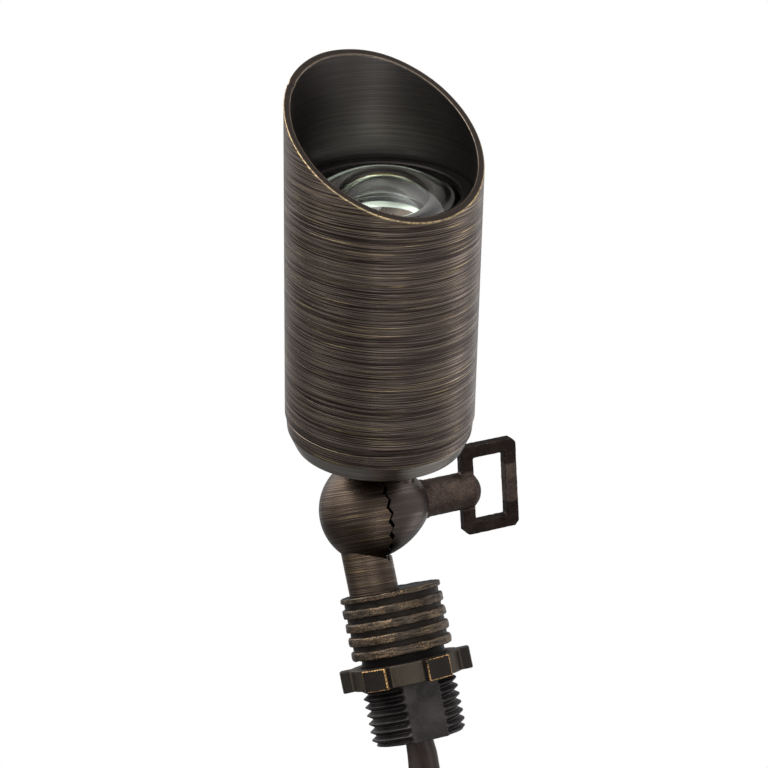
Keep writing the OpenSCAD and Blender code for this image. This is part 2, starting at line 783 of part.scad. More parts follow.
// Upper half of the knuckle, with its neck, flange and threaded nipple
module upper_knuckle_arm() {
    p0 = [arm_dia / 2, arm_x];
    p1 = [arm_end_dia / 2, arm_end_x];
    chord = p1 - p0;
    inward = unit([-chord.y, chord.x]);
    centre = (p0 + p1) / 2 + inward * sqrt(pow(arm_bulge_r, 2) - pow(norm(chord) / 2, 2));
    half_tooth = 180 / tooth_count;
    slot_h = wire_dia + 4 * slip_gap;
    slot_low_t = flange_top_t - flange_t / 2 - slot_h / 2;
    slot_top_t = slot_low_t + slot_h;
    color([0.33, 0.25, 0.17])
    difference() {
        union() {
            in_arm() along_x() rotate_extrude() intersection() {
                translate(centre) circle(r = arm_bulge_r, $fn = 180);
                translate([0, arm_x]) square([arm_dia, arm_reach]);
            }
            in_arm() translate([neck_x, 0, post_dia / 2 + over])
                cylinder(d = neck_dia, h = flange_top_t - post_dia / 2 - over - flange_t / 2);
            in_head() translate([0, 0, flange_top_t - flange_t]) cylinder(d = flange_dia, h = flange_t);
            in_head() translate([0, 0, flange_top_t])
                cylinder(d = nipple_dia, h = nipple_top_t - flange_top_t);
        }
        at_knuckle() translate([arm_x, 0, 0]) mirror([1, 0, 0])
            serration_cuts(ball_dia, tooth_depth, tooth_count, half_tooth);
        at_knuckle() translate([arm_x - over, 0, 0]) along_x()
            ring_of(cavity_dia, post_dia, cavity_depth + over);
        at_knuckle() translate([arm_x - over, 0, 0]) along_x()
            cylinder(d = screw_way_dia, h = arm_reach + 2 * over);
        in_arm() translate([neck_x, 0, post_dia / 2 + over])
            cylinder(d = wire_bore_dia, h = slot_top_t - post_dia / 2 - over);
        in_head() translate([0, 0, slot_low_t]) cylinder(d = wire_bore_dia, h = nipple_top_t);
        in_arm() translate([head_shift, -wire_bore_dia / 2, slot_low_t])
            cube([neck_x - head_shift, wire_bore_dia, slot_h]);
    }
}

module arm_gasket() {
    color([0.07, 0.07, 0.07])
        in_head() translate([0, 0, flange_top_t])
            ring_of(flange_dia - 2 * gasket_inset, nipple_dia + 2 * slip_gap, arm_gasket_t);
}
module arm_nut() {
    color([0.65, 0.55, 0.32])
        in_head() translate([0, 0, floor_top_t]) difference() {
            cylinder(d = arm_nut_w / cos(30), h = arm_nut_h, $fn = 6);
            translate([0, 0, -over]) cylinder(d = nipple_dia + 2 * run_gap, h = arm_nut_h + 2 * over);
        }
}

// Turned base with its polished band, in one with the lamp housing
module lamp_base() {
    groove = seal_groove_w / 2;
    outer = [
        [bottom_dia / 2, head_rise], [edge_dia / 2, edge_t], [base_dia / 2, shoulder_t],
        [housing_dia / 2, shoulder_t]
    ];
    deep = housing_dia / 2 - seal_groove_depth;
    grooves = [
        for (t = seal_places)
            each [
                [housing_dia / 2, t - groove], [deep, t - groove], [deep, t + groove],
                [housing_dia / 2, t + groove]
            ]
    ];
    bore = [
        [housing_dia / 2, housing_top_t], [lens_seat_dia / 2, housing_top_t],
        [lens_seat_dia / 2, lens_seat_t], [housing_bore_dia / 2, lens_seat_t],
        [housing_bore_dia / 2, plate_seat_t], [driver_bore_dia / 2, plate_seat_t],
        [driver_bore_dia / 2, floor_top_t], [nipple_dia / 2 + slip_gap, floor_top_t],
        [nipple_dia / 2 + slip_gap, head_rise]
    ];
    color([0.35, 0.27, 0.18])
        in_head() rotate_extrude() polygon(concat(outer, grooves, bore));
}

// Round seals between the housing and the shroud
module seal(place) {
    r = seal_t / 2;
    in_head() translate([0, 0, place]) rotate_extrude()
        translate([shroud_bore_dia / 2 - run_gap - r, 0]) circle(r = r);
}
module lower_seal() {
    color([0.05, 0.05, 0.05]) seal(seal_places[0]);
}
module upper_seal() {
    color([0.05, 0.05, 0.05]) seal(seal_places[1]);
}

// A pair of screws that stand on height t with their shanks up or down, and the holes for them
module screw_pair(t, r, turn, up) {
    translate([0, 0, t]) rotate([up ? 180 : 0, 0, turn]) for (s = [-1, 1]) {
        translate([s * r, 0, 0]) {
            cylinder(d = screw_head_dia, h = screw_head_h);
            translate([0, 0, -screw_shank_len]) cylinder(d = screw_shank_dia, h = screw_shank_len);
        }
    }
}
module screw_holes(t, r, turn) {
    translate([0, 0, t]) rotate([0, 0, turn]) for (s = [-1, 1]) {
        translate([s * r, 0, 0])
            cylinder(d = screw_shank_dia + 2 * run_gap, h = screw_shank_len + slip_gap);
    }
}

module driver_board() {
    color([0.1, 0.35, 0.2])
    in_head() difference() {
        translate([0, 0, driver_low_t]) cylinder(d = driver_dia, h = board_t);
        screw_holes(driver_low_t - slip_gap, spacer_place_r, 90);
    }
}
module driver_parts() {
    color([0.15, 0.15, 0.2])
    in_head() translate([0, 0, driver_low_t]) {
        translate(capacitor_place) translate([0, 0, -capacitor_h])
            cylinder(d = capacitor_dia, h = capacitor_h);
        translate(coil_place) translate([0, 0, -coil_h]) cylinder(d = coil_dia, h = coil_h);
        translate(bridge_place) translate([-bridge_size.x / 2, -bridge_size.y / 2, -bridge_size.z])
            cube(bridge_size);
    }
}
module driver_screws() {
    color([0.7, 0.7, 0.7])
        in_head() screw_pair(driver_low_t, spacer_place_r, 90, true);
}
module board_spacers() {
    color([0.7, 0.6, 0.35])
    in_head() difference() {
        for (s = [-1, 1]) {
            translate([0, s * spacer_place_r, driver_top_t]) cylinder(d = spacer_dia, h = driver_drop);
        }
        screw_holes(driver_low_t, spacer_place_r, 90);
    }
}

// Two insulated wires from the driver through the nipple into the knuckle
module head_wires() {
    bend_t = flange_top_t - flange_t / 2;
    color([0.08, 0.08, 0.08])
    in_arm() for (s = [-1, 1]) {
        side = s * wire_dia * wire_side_share;
        wire_along([
            [head_shift, side, driver_low_t], [head_shift, side, bend_t], [neck_x, side, bend_t],
            [neck_x, side, post_dia / 2 + 2 * over]
        ], wire_dia);
    }
}

module lamp_plate() {
    color([0.75, 0.75, 0.77])
    in_head() difference() {
        translate([0, 0, plate_seat_t]) cylinder(d = housing_bore_dia - 2 * slip_gap, h = plate_t);
        screw_holes(led_board_top_t - screw_shank_len - slip_gap, screw_place_r, 0);
    }
}
module led_board() {
    color([0.9, 0.9, 0.88])
    in_head() difference() {
        translate([0, 0, plate_top_t]) cylinder(d = led_board_dia, h = board_t);
        screw_holes(led_board_top_t - screw_shank_len + slip_gap, screw_place_r, 0);
    }
}
module led_chip() {
    color([0.95, 0.8, 0.3])
    in_head() translate([0, 0, led_board_top_t]) {
        translate([-led_w / 2, -led_w / 2, 0]) cube([led_w, led_w, led_h]);
        intersection() {
            translate([0, 0, led_h]) sphere(d = led_dome_dia);
            translate([0, 0, led_h / 2]) cylinder(d = led_dome_dia + over, h = led_dome_dia);
        }
    }
}
module board_screws() {
    color([0.7, 0.7, 0.7])
        in_head() screw_pair(led_board_top_t, screw_place_r, 0, false);
}

// Bowl that carries the light up to the lens, resting on the emitter's board
module reflector() {
    low = reflector_low_dia / 2;
    high = housing_bore_dia / 2 - 3 * slip_gap;
    top = lens_seat_t - slip_gap;
    depth = top - led_board_top_t;
    steps = 10;
    bowl_power = 0.56;
    inner = [
        for (k = [0:steps])
            let (s = k / steps)
            [mix(low, high - reflector_wall, pow(s, bowl_power)), led_board_top_t + depth * s]
    ];
    outer = [for (k = [steps:-1:0]) inner[k] + [reflector_wall, 0]];
    color([0.85, 0.85, 0.87])
        in_head() rotate_extrude() polygon(concat(inner, outer));
}

module lens_gasket() {
    color([0.05, 0.05, 0.05])
        in_head() translate([0, 0, lens_seat_t])
            ring_of(lens_dia - slip_gap, lens_dome_dia - 2 * gasket_inset, gasket_t);
}
module lens() {
    r = lens_dome_dia / 2;
    dome_r = (r * r + lens_dome_h * lens_dome_h) / (2 * lens_dome_h);
    color([0.8, 0.9, 0.92, 0.5])
    in_head() union() {
        translate([0, 0, lens_t]) cylinder(d = lens_dia, h = lens_flange_t);
        intersection() {
            translate([0, 0, lens_top_t + lens_dome_h - dome_r]) sphere(r = dome_r);
            translate([0, 0, lens_t + lens_flange_t / 2]) cylinder(r = r, h = lens_dome_h + lens_flange_t);
        }
    }
}
module lens_ring() {
    outer = housing_dia / 2;
    bore = lens_ring_bore_dia / 2;
    color([0.12, 0.1, 0.08])
        in_head() rotate_extrude() polygon([
            [bore, lens_top_t], [lens_dia / 2, lens_top_t], [lens_dia / 2, housing_top_t],
            [outer, housing_top_t], [outer, housing_top_t + lens_ring_t - ring_lip_t],
            [bore + ring_lip_t, housing_top_t + lens_ring_t], [bore, housing_top_t + lens_ring_t - ring_lip_t]
        ]);
}

// Shroud that turns on the housing, cut off at a slope
module shroud() {
    tall = shroud_len + head_dia;
    outer = head_dia / 2;
    inner = outer - shroud_wall;
    color([0.36, 0.28, 0.19])
    in_head() rotate([0, 0, shroud_turn]) translate([0, 0, shoulder_t])
    difference() {
        rotate_extrude() polygon([
            [inner, 0], [outer - shroud_chamfer, 0], [outer, shroud_chamfer], [outer, tall], [inner, tall]
        ]);
        translate([0, 0, shroud_len]) rotate([cut_angle, 0, 0])
            translate([-head_dia, -2 * head_dia, 0]) cube([2 * head_dia, 4 * head_dia, tall]);
    }
}

stem_base();
lower_knuckle_arm();
cord_bush();
cord_inner();
stem_wires();
cord();
cord_hank();
hank_tie();
lead_insulation();
lead_strands();
locknut();
screw_washer();
thumbscrew();
thumbscrew_stud();
upper_knuckle_arm();
arm_gasket();
arm_nut();
lamp_base();
lower_seal();
upper_seal();
driver_board();
driver_parts();
driver_screws();
board_spacers();
head_wires();
lamp_plate();
led_board();
led_chip();
board_screws();
reflector();
lens_gasket();
lens();
lens_ring();
shroud();
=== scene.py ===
"""Brass spotlight on a serrated knuckle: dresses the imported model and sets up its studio."""

import logging
import math
from dataclasses import dataclass
from enum import Enum
from typing import List, Optional, Sequence, Tuple, Union

import bmesh
import bpy
import numpy as np
from mathutils import Matrix, Vector, noise


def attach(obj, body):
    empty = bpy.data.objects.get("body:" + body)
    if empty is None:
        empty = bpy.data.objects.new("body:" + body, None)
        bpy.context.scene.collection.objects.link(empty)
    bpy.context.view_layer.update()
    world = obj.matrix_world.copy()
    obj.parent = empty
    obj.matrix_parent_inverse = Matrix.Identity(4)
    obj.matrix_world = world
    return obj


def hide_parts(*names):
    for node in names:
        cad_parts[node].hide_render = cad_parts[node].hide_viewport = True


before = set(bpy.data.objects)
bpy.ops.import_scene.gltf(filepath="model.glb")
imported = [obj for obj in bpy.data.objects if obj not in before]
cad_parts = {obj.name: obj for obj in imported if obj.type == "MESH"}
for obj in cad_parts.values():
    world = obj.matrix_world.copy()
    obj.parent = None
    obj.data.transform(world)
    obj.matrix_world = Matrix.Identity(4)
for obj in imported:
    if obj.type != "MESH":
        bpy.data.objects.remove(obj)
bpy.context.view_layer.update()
LOG = logging.getLogger("spotlight")
MM = 0.001
SOFT_STEP = {"interpolation_type": "SMOOTHSTEP", "clamp": True}
WHITE = (1.0, 1.0, 1.0)

Number = Union[int, float]
Pair = Tuple[float, float]
Point = Tuple[float, float, float]
Colour = Tuple[float, float, float]


def tone(red: int, green: int, blue: int) -> Colour:
    """Linear colour of a display colour that is written as three numbers up to 255."""
    return tuple(
        c / 12.92 if c <= 0.04045 else ((c + 0.055) / 1.055) ** 2.4
        for c in (red / 255, green / 255, blue / 255)
    )


def smooth_step(low: float, high: float, x: np.ndarray) -> np.ndarray:
    """Rises softly from 0 at low to 1 at high."""
    share = np.clip((x - low) / (high - low), 0.0, 1.0)
    return share * share * (3.0 - 2.0 * share)


# Shader maths


class Wire:
    """A socket of numbers that takes part in Python expressions."""

    def __init__(self, graph: "Graph", socket: bpy.types.NodeSocket) -> None:
        """Wraps a socket.

        Args:
            graph: The graph that the socket's node is in.
            socket: The output socket.
        """
        self.graph = graph
        self.socket = socket

    def _with(self, operation: str, *values: "Value") -> "Wire":
        """Math node of the given operation on the values."""
        return self.graph.out("ShaderNodeMath", {"operation": operation}, dict(enumerate(values)))

    def __add__(self, other: "Value") -> "Wire":
        """self + other."""
        return self._with("ADD", self, other)

    __radd__ = __add__

    def __sub__(self, other: "Value") -> "Wire":
        """self - other."""
        return self._with("SUBTRACT", self, other)

    def __rsub__(self, other: "Value") -> "Wire":
        """other - self."""
        return self._with("SUBTRACT", other, self)

    def __mul__(self, other: "Value") -> "Wire":
        """self * other."""
        return self._with("MULTIPLY", self, other)

    __rmul__ = __mul__

    def __truediv__(self, other: "Value") -> "Wire":
        """self / other."""
        return self._with("DIVIDE", self, other)

    def __abs__(self) -> "Wire":
        """abs(self)."""
        return self._with("ABSOLUTE", self)

    def __pow__(self, other: "Value") -> "Wire":
        """self ** other."""
        return self._with("POWER", self, other)

    def hypot(self, other: "Wire") -> "Wire":
        """Length of the two at right angles to each other."""
        return (self * self + other * other) ** 0.5

    def highest(self, other: "Value") -> "Wire":
        """The larger of the two."""
        return self._with("MAXIMUM", self, other)

    def lowest(self, other: "Value") -> "Wire":
        """The smaller of the two."""
        return self._with("MINIMUM", self, other)

    def rise(self, low: float, high: float) -> "Wire":
        """Soft step from 0 at low to 1 at high."""
        inputs = {"Value": self, "From Min": low, "From Max": high}
        return self.graph.out("ShaderNodeMapRange", SOFT_STEP, inputs)


Value = Union[Wire, Number]


class Graph:
    """The nodes of one material or world."""

    def __init__(self, tree: bpy.types.NodeTree) -> None:
        """Empties a node tree for use.

        Args:
            tree: The tree of a material or a world.
        """
        self.tree = tree
        tree.nodes.clear()

    def node(
        self, kind: str, settings: Optional[dict] = None, inputs: Optional[dict] = None
    ) -> bpy.types.Node:
        """Adds a node.

        Args:
            kind: The node's type.
            settings: The node's own properties, set first.
            inputs: Values or wires of its sockets, by name or place.

        Returns:
            The new node.
        """
        made = self.tree.nodes.new(kind)
        for key, value in (settings or {}).items():
            setattr(made, key, value)
        for key, value in (inputs or {}).items():
            self._feed(made.inputs[key], value)
        return made

    def out(
        self, kind: str, settings: Optional[dict] = None, inputs: Optional[dict] = None,
        output: Union[int, str] = 0,
    ) -> Wire:
        """Adds a node and wraps one of its outputs, which has a name or a place."""
        return Wire(self, self.node(kind, settings, inputs).outputs[output])

    def _feed(self, socket: bpy.types.NodeSocket, value: object) -> None:
        """Links or sets one socket.

        Args:
            socket: The input socket.
            value: A wire, a number, or a row of numbers that ones fill up.
        """
        if isinstance(value, Wire):
            self.tree.links.new(value.socket, socket)
        elif isinstance(value, (int, float)):
            socket.default_value = value
        else:
            room = len(socket.default_value)
            socket.default_value = (tuple(value) + (1.0,) * room)[:room]

    def mix(self, share: Value, first: object, second: object) -> Wire:
        """Colour between first and second by share."""
        inputs = {0: share, 6: first, 7: second}
        return self.out("ShaderNodeMix", {"data_type": "RGBA"}, inputs, 2)

    def vector(self, operation: str, *values: object, output: int = 0) -> Wire:
        """Vector Math node of the given operation."""
        settings = {"operation": operation}
        return self.out("ShaderNodeVectorMath", settings, dict(enumerate(values)), output)

    def joined(self, x: Value, y: Value, z: Value) -> Wire:
        """A vector of three numbers."""
        return self.out("ShaderNodeCombineXYZ", None, {0: x, 1: y, 2: z})

    def noise(
        self, place: Wire, scale: Union[float, Point], detail: float = 2.0, rough: float = 0.5
    ) -> Wire:
        """Noise of about 0 to 1.

        Args:
            place: Where it is read.
            scale: How dense it is, overall or along each of the place's three numbers.
            detail: Finer and finer layers in it.
            rough: Share of its strength that a layer hands to the next.

        Returns:
            The noise.
        """
        if isinstance(scale, tuple):
            place, scale = self.vector("MULTIPLY", place, scale), 1.0
        inputs = {"Vector": place, "Scale": scale, "Detail": detail, "Roughness": rough}
        return self.out("ShaderNodeTexNoise", None, inputs)

    def cast_noises(self, place: Wire, grain: float, pits: float, cloud: float) -> List[Wire]:
        """The three noises of a casting, from their densities: its grain, its pits and its clouds."""
        layers = ((grain, 4.0, 0.62), (pits, 3.0, 0.7), (cloud, 2.0, 0.5))
        return [self.noise(place, *layer) for layer in layers]

    def edge_wear(self) -> Wire:
        """How worn a point of the mesh is, from the mesh's own attribute."""
        return self.out("ShaderNodeAttribute", {"attribute_name": "edge"}, None, "Fac")

    def place_mm(self) -> Wire:
        """Position in the object's own frame, in millimetres."""
        place = self.out("ShaderNodeTexCoord", None, None, "Object")
        return self.out("ShaderNodeVectorMath", {"operation": "SCALE"}, {0: place, "Scale": 1.0 / MM})

    def seen(self) -> Wire:
        """1 for the camera's own rays, else 0."""
        return self.out("ShaderNodeLightPath", None, None, "Is Camera Ray")

    def principled(self, shader: dict, bump: Optional[Wire] = None, depth_mm: float = 0.0) -> None:
        """Ends the graph in a Principled shader.

        Args:
            shader: Values or wires of the shader's sockets.
            bump: Height from 0 to 1.
            depth_mm: Height that 1 stands for.
        """
        if bump is not None:
            heights = {"Height": bump, "Distance": depth_mm * MM, "Strength": 1.0}
            shader = {**shader, "Normal": self.out("ShaderNodeBump", None, heights)}
        surface = self.out("ShaderNodeBsdfPrincipled", None, shader)
        self.node("ShaderNodeOutputMaterial", None, {"Surface": surface})


@dataclass(frozen=True)
class Axis:
    """A line that a surface is turned or brushed about, in millimetres."""

    origin: Point
    along: Point
    side: Point = (1.0, 0.0, 0.0)

    def split(self, graph: Graph, place: Wire) -> Tuple[Wire, Wire, Wire]:
        """Coordinates about the axis.

        Args:
            graph: The material's graph.
            place: Position in millimetres.

        Returns:
            Two coordinates across the axis and the one along it.
        """
        along, side = Vector(self.along), Vector(self.side)
        offset = graph.vector("SUBTRACT", place, self.origin)
        ways = (side, along.cross(side), along)
        u, v, t = (graph.vector("DOT_PRODUCT", offset, tuple(way), output=1) for way in ways)
        return u, v, t


TILT = math.radians(32.0)
BALL = (0.0, 0.0, 38.0)
HEAD_SHIFT = 1.14
UP = (0.0, 0.0, 1.0)
HEAD_AXIS = Axis((HEAD_SHIFT, 0.0, 38.0), (0.0, -math.sin(TILT), math.cos(TILT)))
STEM_AXIS = Axis((0.0, 0.0, 0.0), UP)
TUBE_AXIS = Axis((-3.7, 0.0, 0.0), UP)
SCREW_AXIS = Axis(BALL, (1.0, 0.0, 0.0), UP)
HEAD = (
    Matrix.Translation(Vector(BALL))
    @ Matrix.Rotation(TILT, 4, "X")
    @ Matrix.Translation((HEAD_SHIFT, 0.0, 0.0))
)


def start_material(name: str) -> Tuple[bpy.types.Material, Graph]:
    """A new material and its empty graph.

    Args:
        name: The material's name.

    Returns:
        The material and the graph.
    """
    material = bpy.data.materials.new(name)
    material.use_nodes = True
    return material, Graph(material.node_tree)


# Finishes. Noise keeps near 0.5, so the levels between which it rises are close to that


@dataclass(frozen=True)
class SurfaceFinish:
    """What every finish has: a name, and nodes that its own class adds."""

    name: str

    def build(self) -> bpy.types.Material:
        """Makes the finish's material.

        Returns:
            The material.
        """
        material, g = start_material(self.name)
        self.dress(g, g.place_mm())
        return material

    def dress(self, g: Graph, place: Wire) -> None:
        """Adds the nodes. Each finish has its own, with the same arguments.

        Args:
            g: The material's graph.
            place: Position in millimetres.
        """
        raise NotImplementedError(self.name)


@dataclass(frozen=True)
class BrushedBronze(SurfaceFinish):
    """Antique bronze over brass with fine brushed lines about an axis."""

    axis: Axis
    dark: Colour = tone(73, 62, 59)
    brown: Colour = tone(162, 146, 133)
    gold: Colour = tone(232, 206, 150)
    gold_share: float = 0.7
    skew: float = 0.02
    sway_mm: float = 0.2
    rough: float = 0.25
    lines_per_mm: float = 5.6
    line_drift: float = 0.02
    bright_heights: Tuple[float, ...] = ()
    bright_half_mm: float = 0.22
    depth_mm: float = 0.024

    def dress(self, g: Graph, place: Wire) -> None:
        """Adds the nodes."""
        u, v, level = self.axis.split(g, place)
        lean, sway = u * self.skew, g.noise(place, 0.04, 1.0) * self.sway_mm
        t = level + lean + sway
        slow = g.joined(u * self.line_drift, v * self.line_drift, t)
        fine = g.noise(slow, (0.8, 0.8, self.lines_per_mm), 2.0, 0.7)
        hair = g.noise(slow, (2.6, 2.6, 1.7 * self.lines_per_mm), 1.0, 0.6)
        band = g.noise(slow, (1.4, 1.4, 0.6), 3.0, 0.6)
        cloud = g.noise(place, 0.11, 3.0, 0.6)
        lines = (fine * 0.5 + hair * 0.5).rise(0.46, 0.6)
        brown_share = (lines * 0.85 + band * 0.24 - 0.1).rise(0.0, 1.0)
        streaks = g.noise(slow, (2.2, 2.2, 0.8 * self.lines_per_mm), 2.0, 0.75)
        streak = streaks.rise(0.61, 0.67) * (cloud.rise(0.36, 0.6) * 0.8 + 0.2) * self.gold_share
        wear = g.edge_wear().rise(0.25, 0.9)
        for height in self.bright_heights:
            wear = wear.highest(1.0 - abs(level - height).rise(0.02, self.bright_half_mm))
        speck = g.noise(place, 1.5, 3.0, 0.7).rise(0.38, 0.62)
        bright = (streak + wear * (0.1 + speck * 0.6)).lowest(1.0)
        roughness = self.rough + (1.0 - lines) * 0.10 + cloud * 0.06 - bright * 0.06
        colour = g.mix(bright, g.mix(brown_share, self.dark, self.brown), self.gold)
        shader = {"Base Color": colour, "Metallic": 1.0, "Roughness": roughness}
        g.principled(shader, lines * 0.7 + fine * 0.3 + hair * 0.4, self.depth_mm)


@dataclass(frozen=True)
class CastBronze(SurfaceFinish):
    """Rough cast bronze, dark in the hollows and worn to brown and brass on the crests."""

    dark: Colour
    brown: Colour
    gold: Colour
    grain_per_mm: float
    worn: float
    rough: float
    depth_mm: float

    def dress(self, g: Graph, place: Wire) -> None:
        """Adds the nodes."""
        density = self.grain_per_mm
        grain, pits, cloud = g.cast_noises(place, density, density * 3.1, 0.16)
        drag = g.noise(place, (0.22, 0.22, 1.7), 3.0, 0.6)
        edge = g.edge_wear()
        crest = (edge * 0.8 + grain * 0.5 + drag * 0.35).rise(0.42, 1.05)
        gold = edge.rise(0.35, 0.95) * pits.rise(0.44, 0.66) * cloud.rise(0.4, 0.62)
        fleck = pits.rise(0.64, 0.74) * grain.rise(0.5, 0.7) * 0.5
        gold_share = ((gold + fleck) * self.worn).lowest(1.0)
        colour = g.mix(gold_share, g.mix(crest, self.dark, self.brown), self.gold)
        roughness = self.rough + pits * 0.22 - crest * 0.08
        shader = {"Base Color": colour, "Metallic": 0.9, "Roughness": roughness}
        g.principled(shader, grain * 0.6 + pits * 0.4, self.depth_mm)


@dataclass(frozen=True)
class RibbedCast(SurfaceFinish):
    """Rough cast bronze of the stem: brown rib crests, grooves with painted shade that goes black at
    their roots, and a dark thread.
    """

    # Black: painted shade at the roots of the grooves.
    black: Colour = tone(33, 30, 29)
    rib: Colour = tone(56, 49, 44)
    brown: Colour = tone(106, 94, 81)
    thread: Colour = tone(51, 48, 48)
    worn_thread: Colour = tone(79, 74, 73)
    gold: Colour = tone(206, 166, 118)
    groove_r: float = 9.4
    crest_from: float = 10.56
    crest_to: float = 10.9
    thread_top: float = -0.6
    cast_from: float = 0.1
    depth_mm: float = 0.07

    def dress(self, g: Graph, place: Wire) -> None:
        """Adds the nodes."""
        u, v, z = STEM_AXIS.split(g, place)
        radius = u.hypot(v)
        grain, pits, cloud = g.cast_noises(place, 1.6, 4.4, 0.2)
        drag = g.noise(place, (0.3, 0.3, 3.4), 3.0, 0.65)
        crest = (radius + (grain - 0.5) * 0.3).rise(self.crest_from, self.crest_to)
        streak = (drag * 0.9 + cloud * 0.3 + pits * 0.25).rise(0.58, 0.88)
        # Painted shade: the grooves go black towards their roots and lighten with the radius.
        lit = ((radius - self.groove_r) * 0.5 + grain * 0.6 + drag * 0.4 - 0.55).rise(0.0, 1.0)
        under = g.mix(lit, self.black, self.rib)
        colour = g.mix(crest, under, g.mix(streak, self.rib, self.brown))
        low = 1.0 - z.rise(self.thread_top, self.cast_from)
        worn = (grain * 0.3 + cloud * 0.9).rise(0.35, 0.85)
        colour = g.mix(low, colour, g.mix(worn, self.thread, self.worn_thread))
        ribs = crest * (1.0 - low)
        fleck = pits.rise(0.54, 0.64) * cloud.rise(0.44, 0.58) * ribs
        line = drag.rise(0.62, 0.74) * pits.rise(0.45, 0.6) * ribs * 0.4
        colour = g.mix((fleck * 0.7 + line).lowest(1.0), colour, self.gold)
        roughness = 0.4 + pits * 0.2 - crest * 0.08 - low * 0.04
        shader = {"Base Color": colour, "Metallic": 0.92, "Roughness": roughness}
        bump = (grain * 0.5 + drag * 0.35 + pits * 0.3) * (1.0 - low * 0.88)
        g.principled(shader, bump, self.depth_mm)


@dataclass(frozen=True)
class ScrewCast(SurfaceFinish):
    """Pinkish cast bronze of the thumbscrew: a mottled barrel, painted lighter than the loop as painted
    light from above, and a darker loop.
    """

    # The barrel's colours are lighter than the loop's: painted light from above on the barrel, over a
    # real mottle.
    barrel: Colour = tone(67, 55, 51)
    barrel_light: Colour = tone(99, 85, 77)
    loop: Colour = tone(38, 30, 28)
    loop_light: Colour = tone(58, 48, 43)
    fleck: Colour = tone(186, 158, 134)
    barrel_r: float = 4.35
    loop_r: float = 4.95
    depth_mm: float = 0.05

    def dress(self, g: Graph, place: Wire) -> None:
        """Adds the nodes."""
        u, v, _ = SCREW_AXIS.split(g, place)
        grain, pits, cloud = g.cast_noises(place, 2.0, 5.2, 0.35)
        light = (grain * 0.7 + cloud * 0.5).rise(0.42, 0.78)
        on_loop = u.hypot(v).rise(self.barrel_r, self.loop_r)
        barrel = g.mix(light, self.barrel, self.barrel_light)
        loop = g.mix(light, self.loop, self.loop_light)
        spots = pits.rise(0.6, 0.72) * cloud.rise(0.42, 0.6) * (0.75 - on_loop * 0.5)
        wear = g.edge_wear().rise(0.5, 1.0) * grain.rise(0.45, 0.65) * 0.3
        colour = g.mix((spots + wear).lowest(1.0), g.mix(on_loop, barrel, loop), self.fleck)
        shader = {"Base Color": colour, "Metallic": 0.92, "Roughness": 0.4 + pits * 0.16}
        g.principled(shader, grain * 0.6 + pits * 0.4, self.depth_mm)


@dataclass(frozen=True)
class BlackNutFinish(SurfaceFinish):
    """Black oxide that is worn through to brass in fine lines along the corners, and painted light that
    turns the body between the lugs brown.
    """

    black: Colour = tone(43, 39, 37)
    # Brown: painted light on the body between the lugs, with some random grain.
    brown: Colour = tone(86, 77, 67)
    gold: Colour = tone(232, 184, 122)
    body_r: float = 12.45
    face_r: float = 13.6
    framed_lugs: Tuple[float, ...] = (-80.7, -140.7)
    lug_half: float = 2.85
    lug_top: float = 4.6
    line_mm: float = 0.16
    depth_mm: float = 0.03

    def dress(self, g: Graph, place: Wire) -> None:
        """Adds the nodes."""
        u, v, z = STEM_AXIS.split(g, place)
        cloud = g.noise(place, 0.3, 3.0, 0.6)
        grain = g.noise(place, 3.2, 3.0, 0.6)
        edge = g.edge_wear() * (cloud.rise(0.45, 0.65) * 0.3 + 0.15)
        line, fade = self.line_mm, 0.12
        top = z.rise(self.lug_top - line - fade, self.lug_top - line)
        border = (1.0 - z.rise(line, line + fade)).highest(top)
        for degrees in self.framed_lugs:
            cos, sin = math.cos(math.radians(degrees)), math.sin(math.radians(degrees))
            across = abs(v * cos - u * sin)
            beyond = across.rise(self.lug_half + 0.1, self.lug_half + 0.2)
            face = (u * cos + v * sin).rise(self.face_r, self.face_r + 0.2) * (1.0 - beyond)
            sides = across.rise(self.lug_half - line - 0.1, self.lug_half - line)
            edge = edge.highest(border.highest(sides) * face * (grain * 1.7 - 0.36))
        worn = (edge + (grain - 0.5) * 0.4).rise(0.32, 0.6) * cloud.rise(0.3, 0.46)
        # Painted light: the body between the lugs turns brown as if lit, while the lugs stay black.
        body = 1.0 - u.hypot(v).rise(self.body_r, self.body_r + 0.3)
        oxide_and_lit_body = g.mix(body * (0.4 + cloud * 0.6) + grain * 0.15, self.black, self.brown)
        colour = g.mix(worn, oxide_and_lit_body, self.gold)
        shader = {"Base Color": colour, "Metallic": 0.85, "Roughness": 0.36 + grain * 0.2}
        g.principled(shader, grain, self.depth_mm)


@dataclass(frozen=True)
class Jacket(SurfaceFinish):
    """Dark plastic jacket of the twin lead."""

    dark: Colour = tone(29, 19, 16)
    light: Colour = tone(58, 40, 32)
    depth_mm: float = 0.03

    def dress(self, g: Graph, place: Wire) -> None:
        """Adds the nodes."""
        cloud = g.noise(place, 0.25, 2.0, 0.5)
        grain = g.noise(place, (2.0, 2.0, 0.4), 3.0, 0.6)
        colour = g.mix(cloud * 0.6 + grain * 0.4, self.dark, self.light)
        shader = {"Base Color": colour, "Roughness": 0.3 + grain * 0.18}
        g.principled(shader, grain * 0.7 + cloud * 0.3, self.depth_mm)


@dataclass(frozen=True)
class PlainFinish(SurfaceFinish):
    """A plain finish with slight spots of colour and roughness."""

    first: Colour
    second: Colour
    rough: float
    grain_per_mm: float
    depth_mm: float = 0.01
    metallic: float = 0.0

    def dress(self, g: Graph, place: Wire) -> None:
        """Adds the nodes."""
        grain = g.noise(place, self.grain_per_mm, 3.0, 0.6)
        colour = g.mix(grain.rise(0.3, 0.7), self.first, self.second)
        roughness = self.rough + (grain - 0.5) * 0.2
        shader = {"Base Color": colour, "Metallic": self.metallic, "Roughness": roughness}
        g.principled(shader, grain, self.depth_mm)


@dataclass(frozen=True)
class BareMetal(PlainFinish):
    """A plain finish that is metal."""

    metallic: float = 1.0


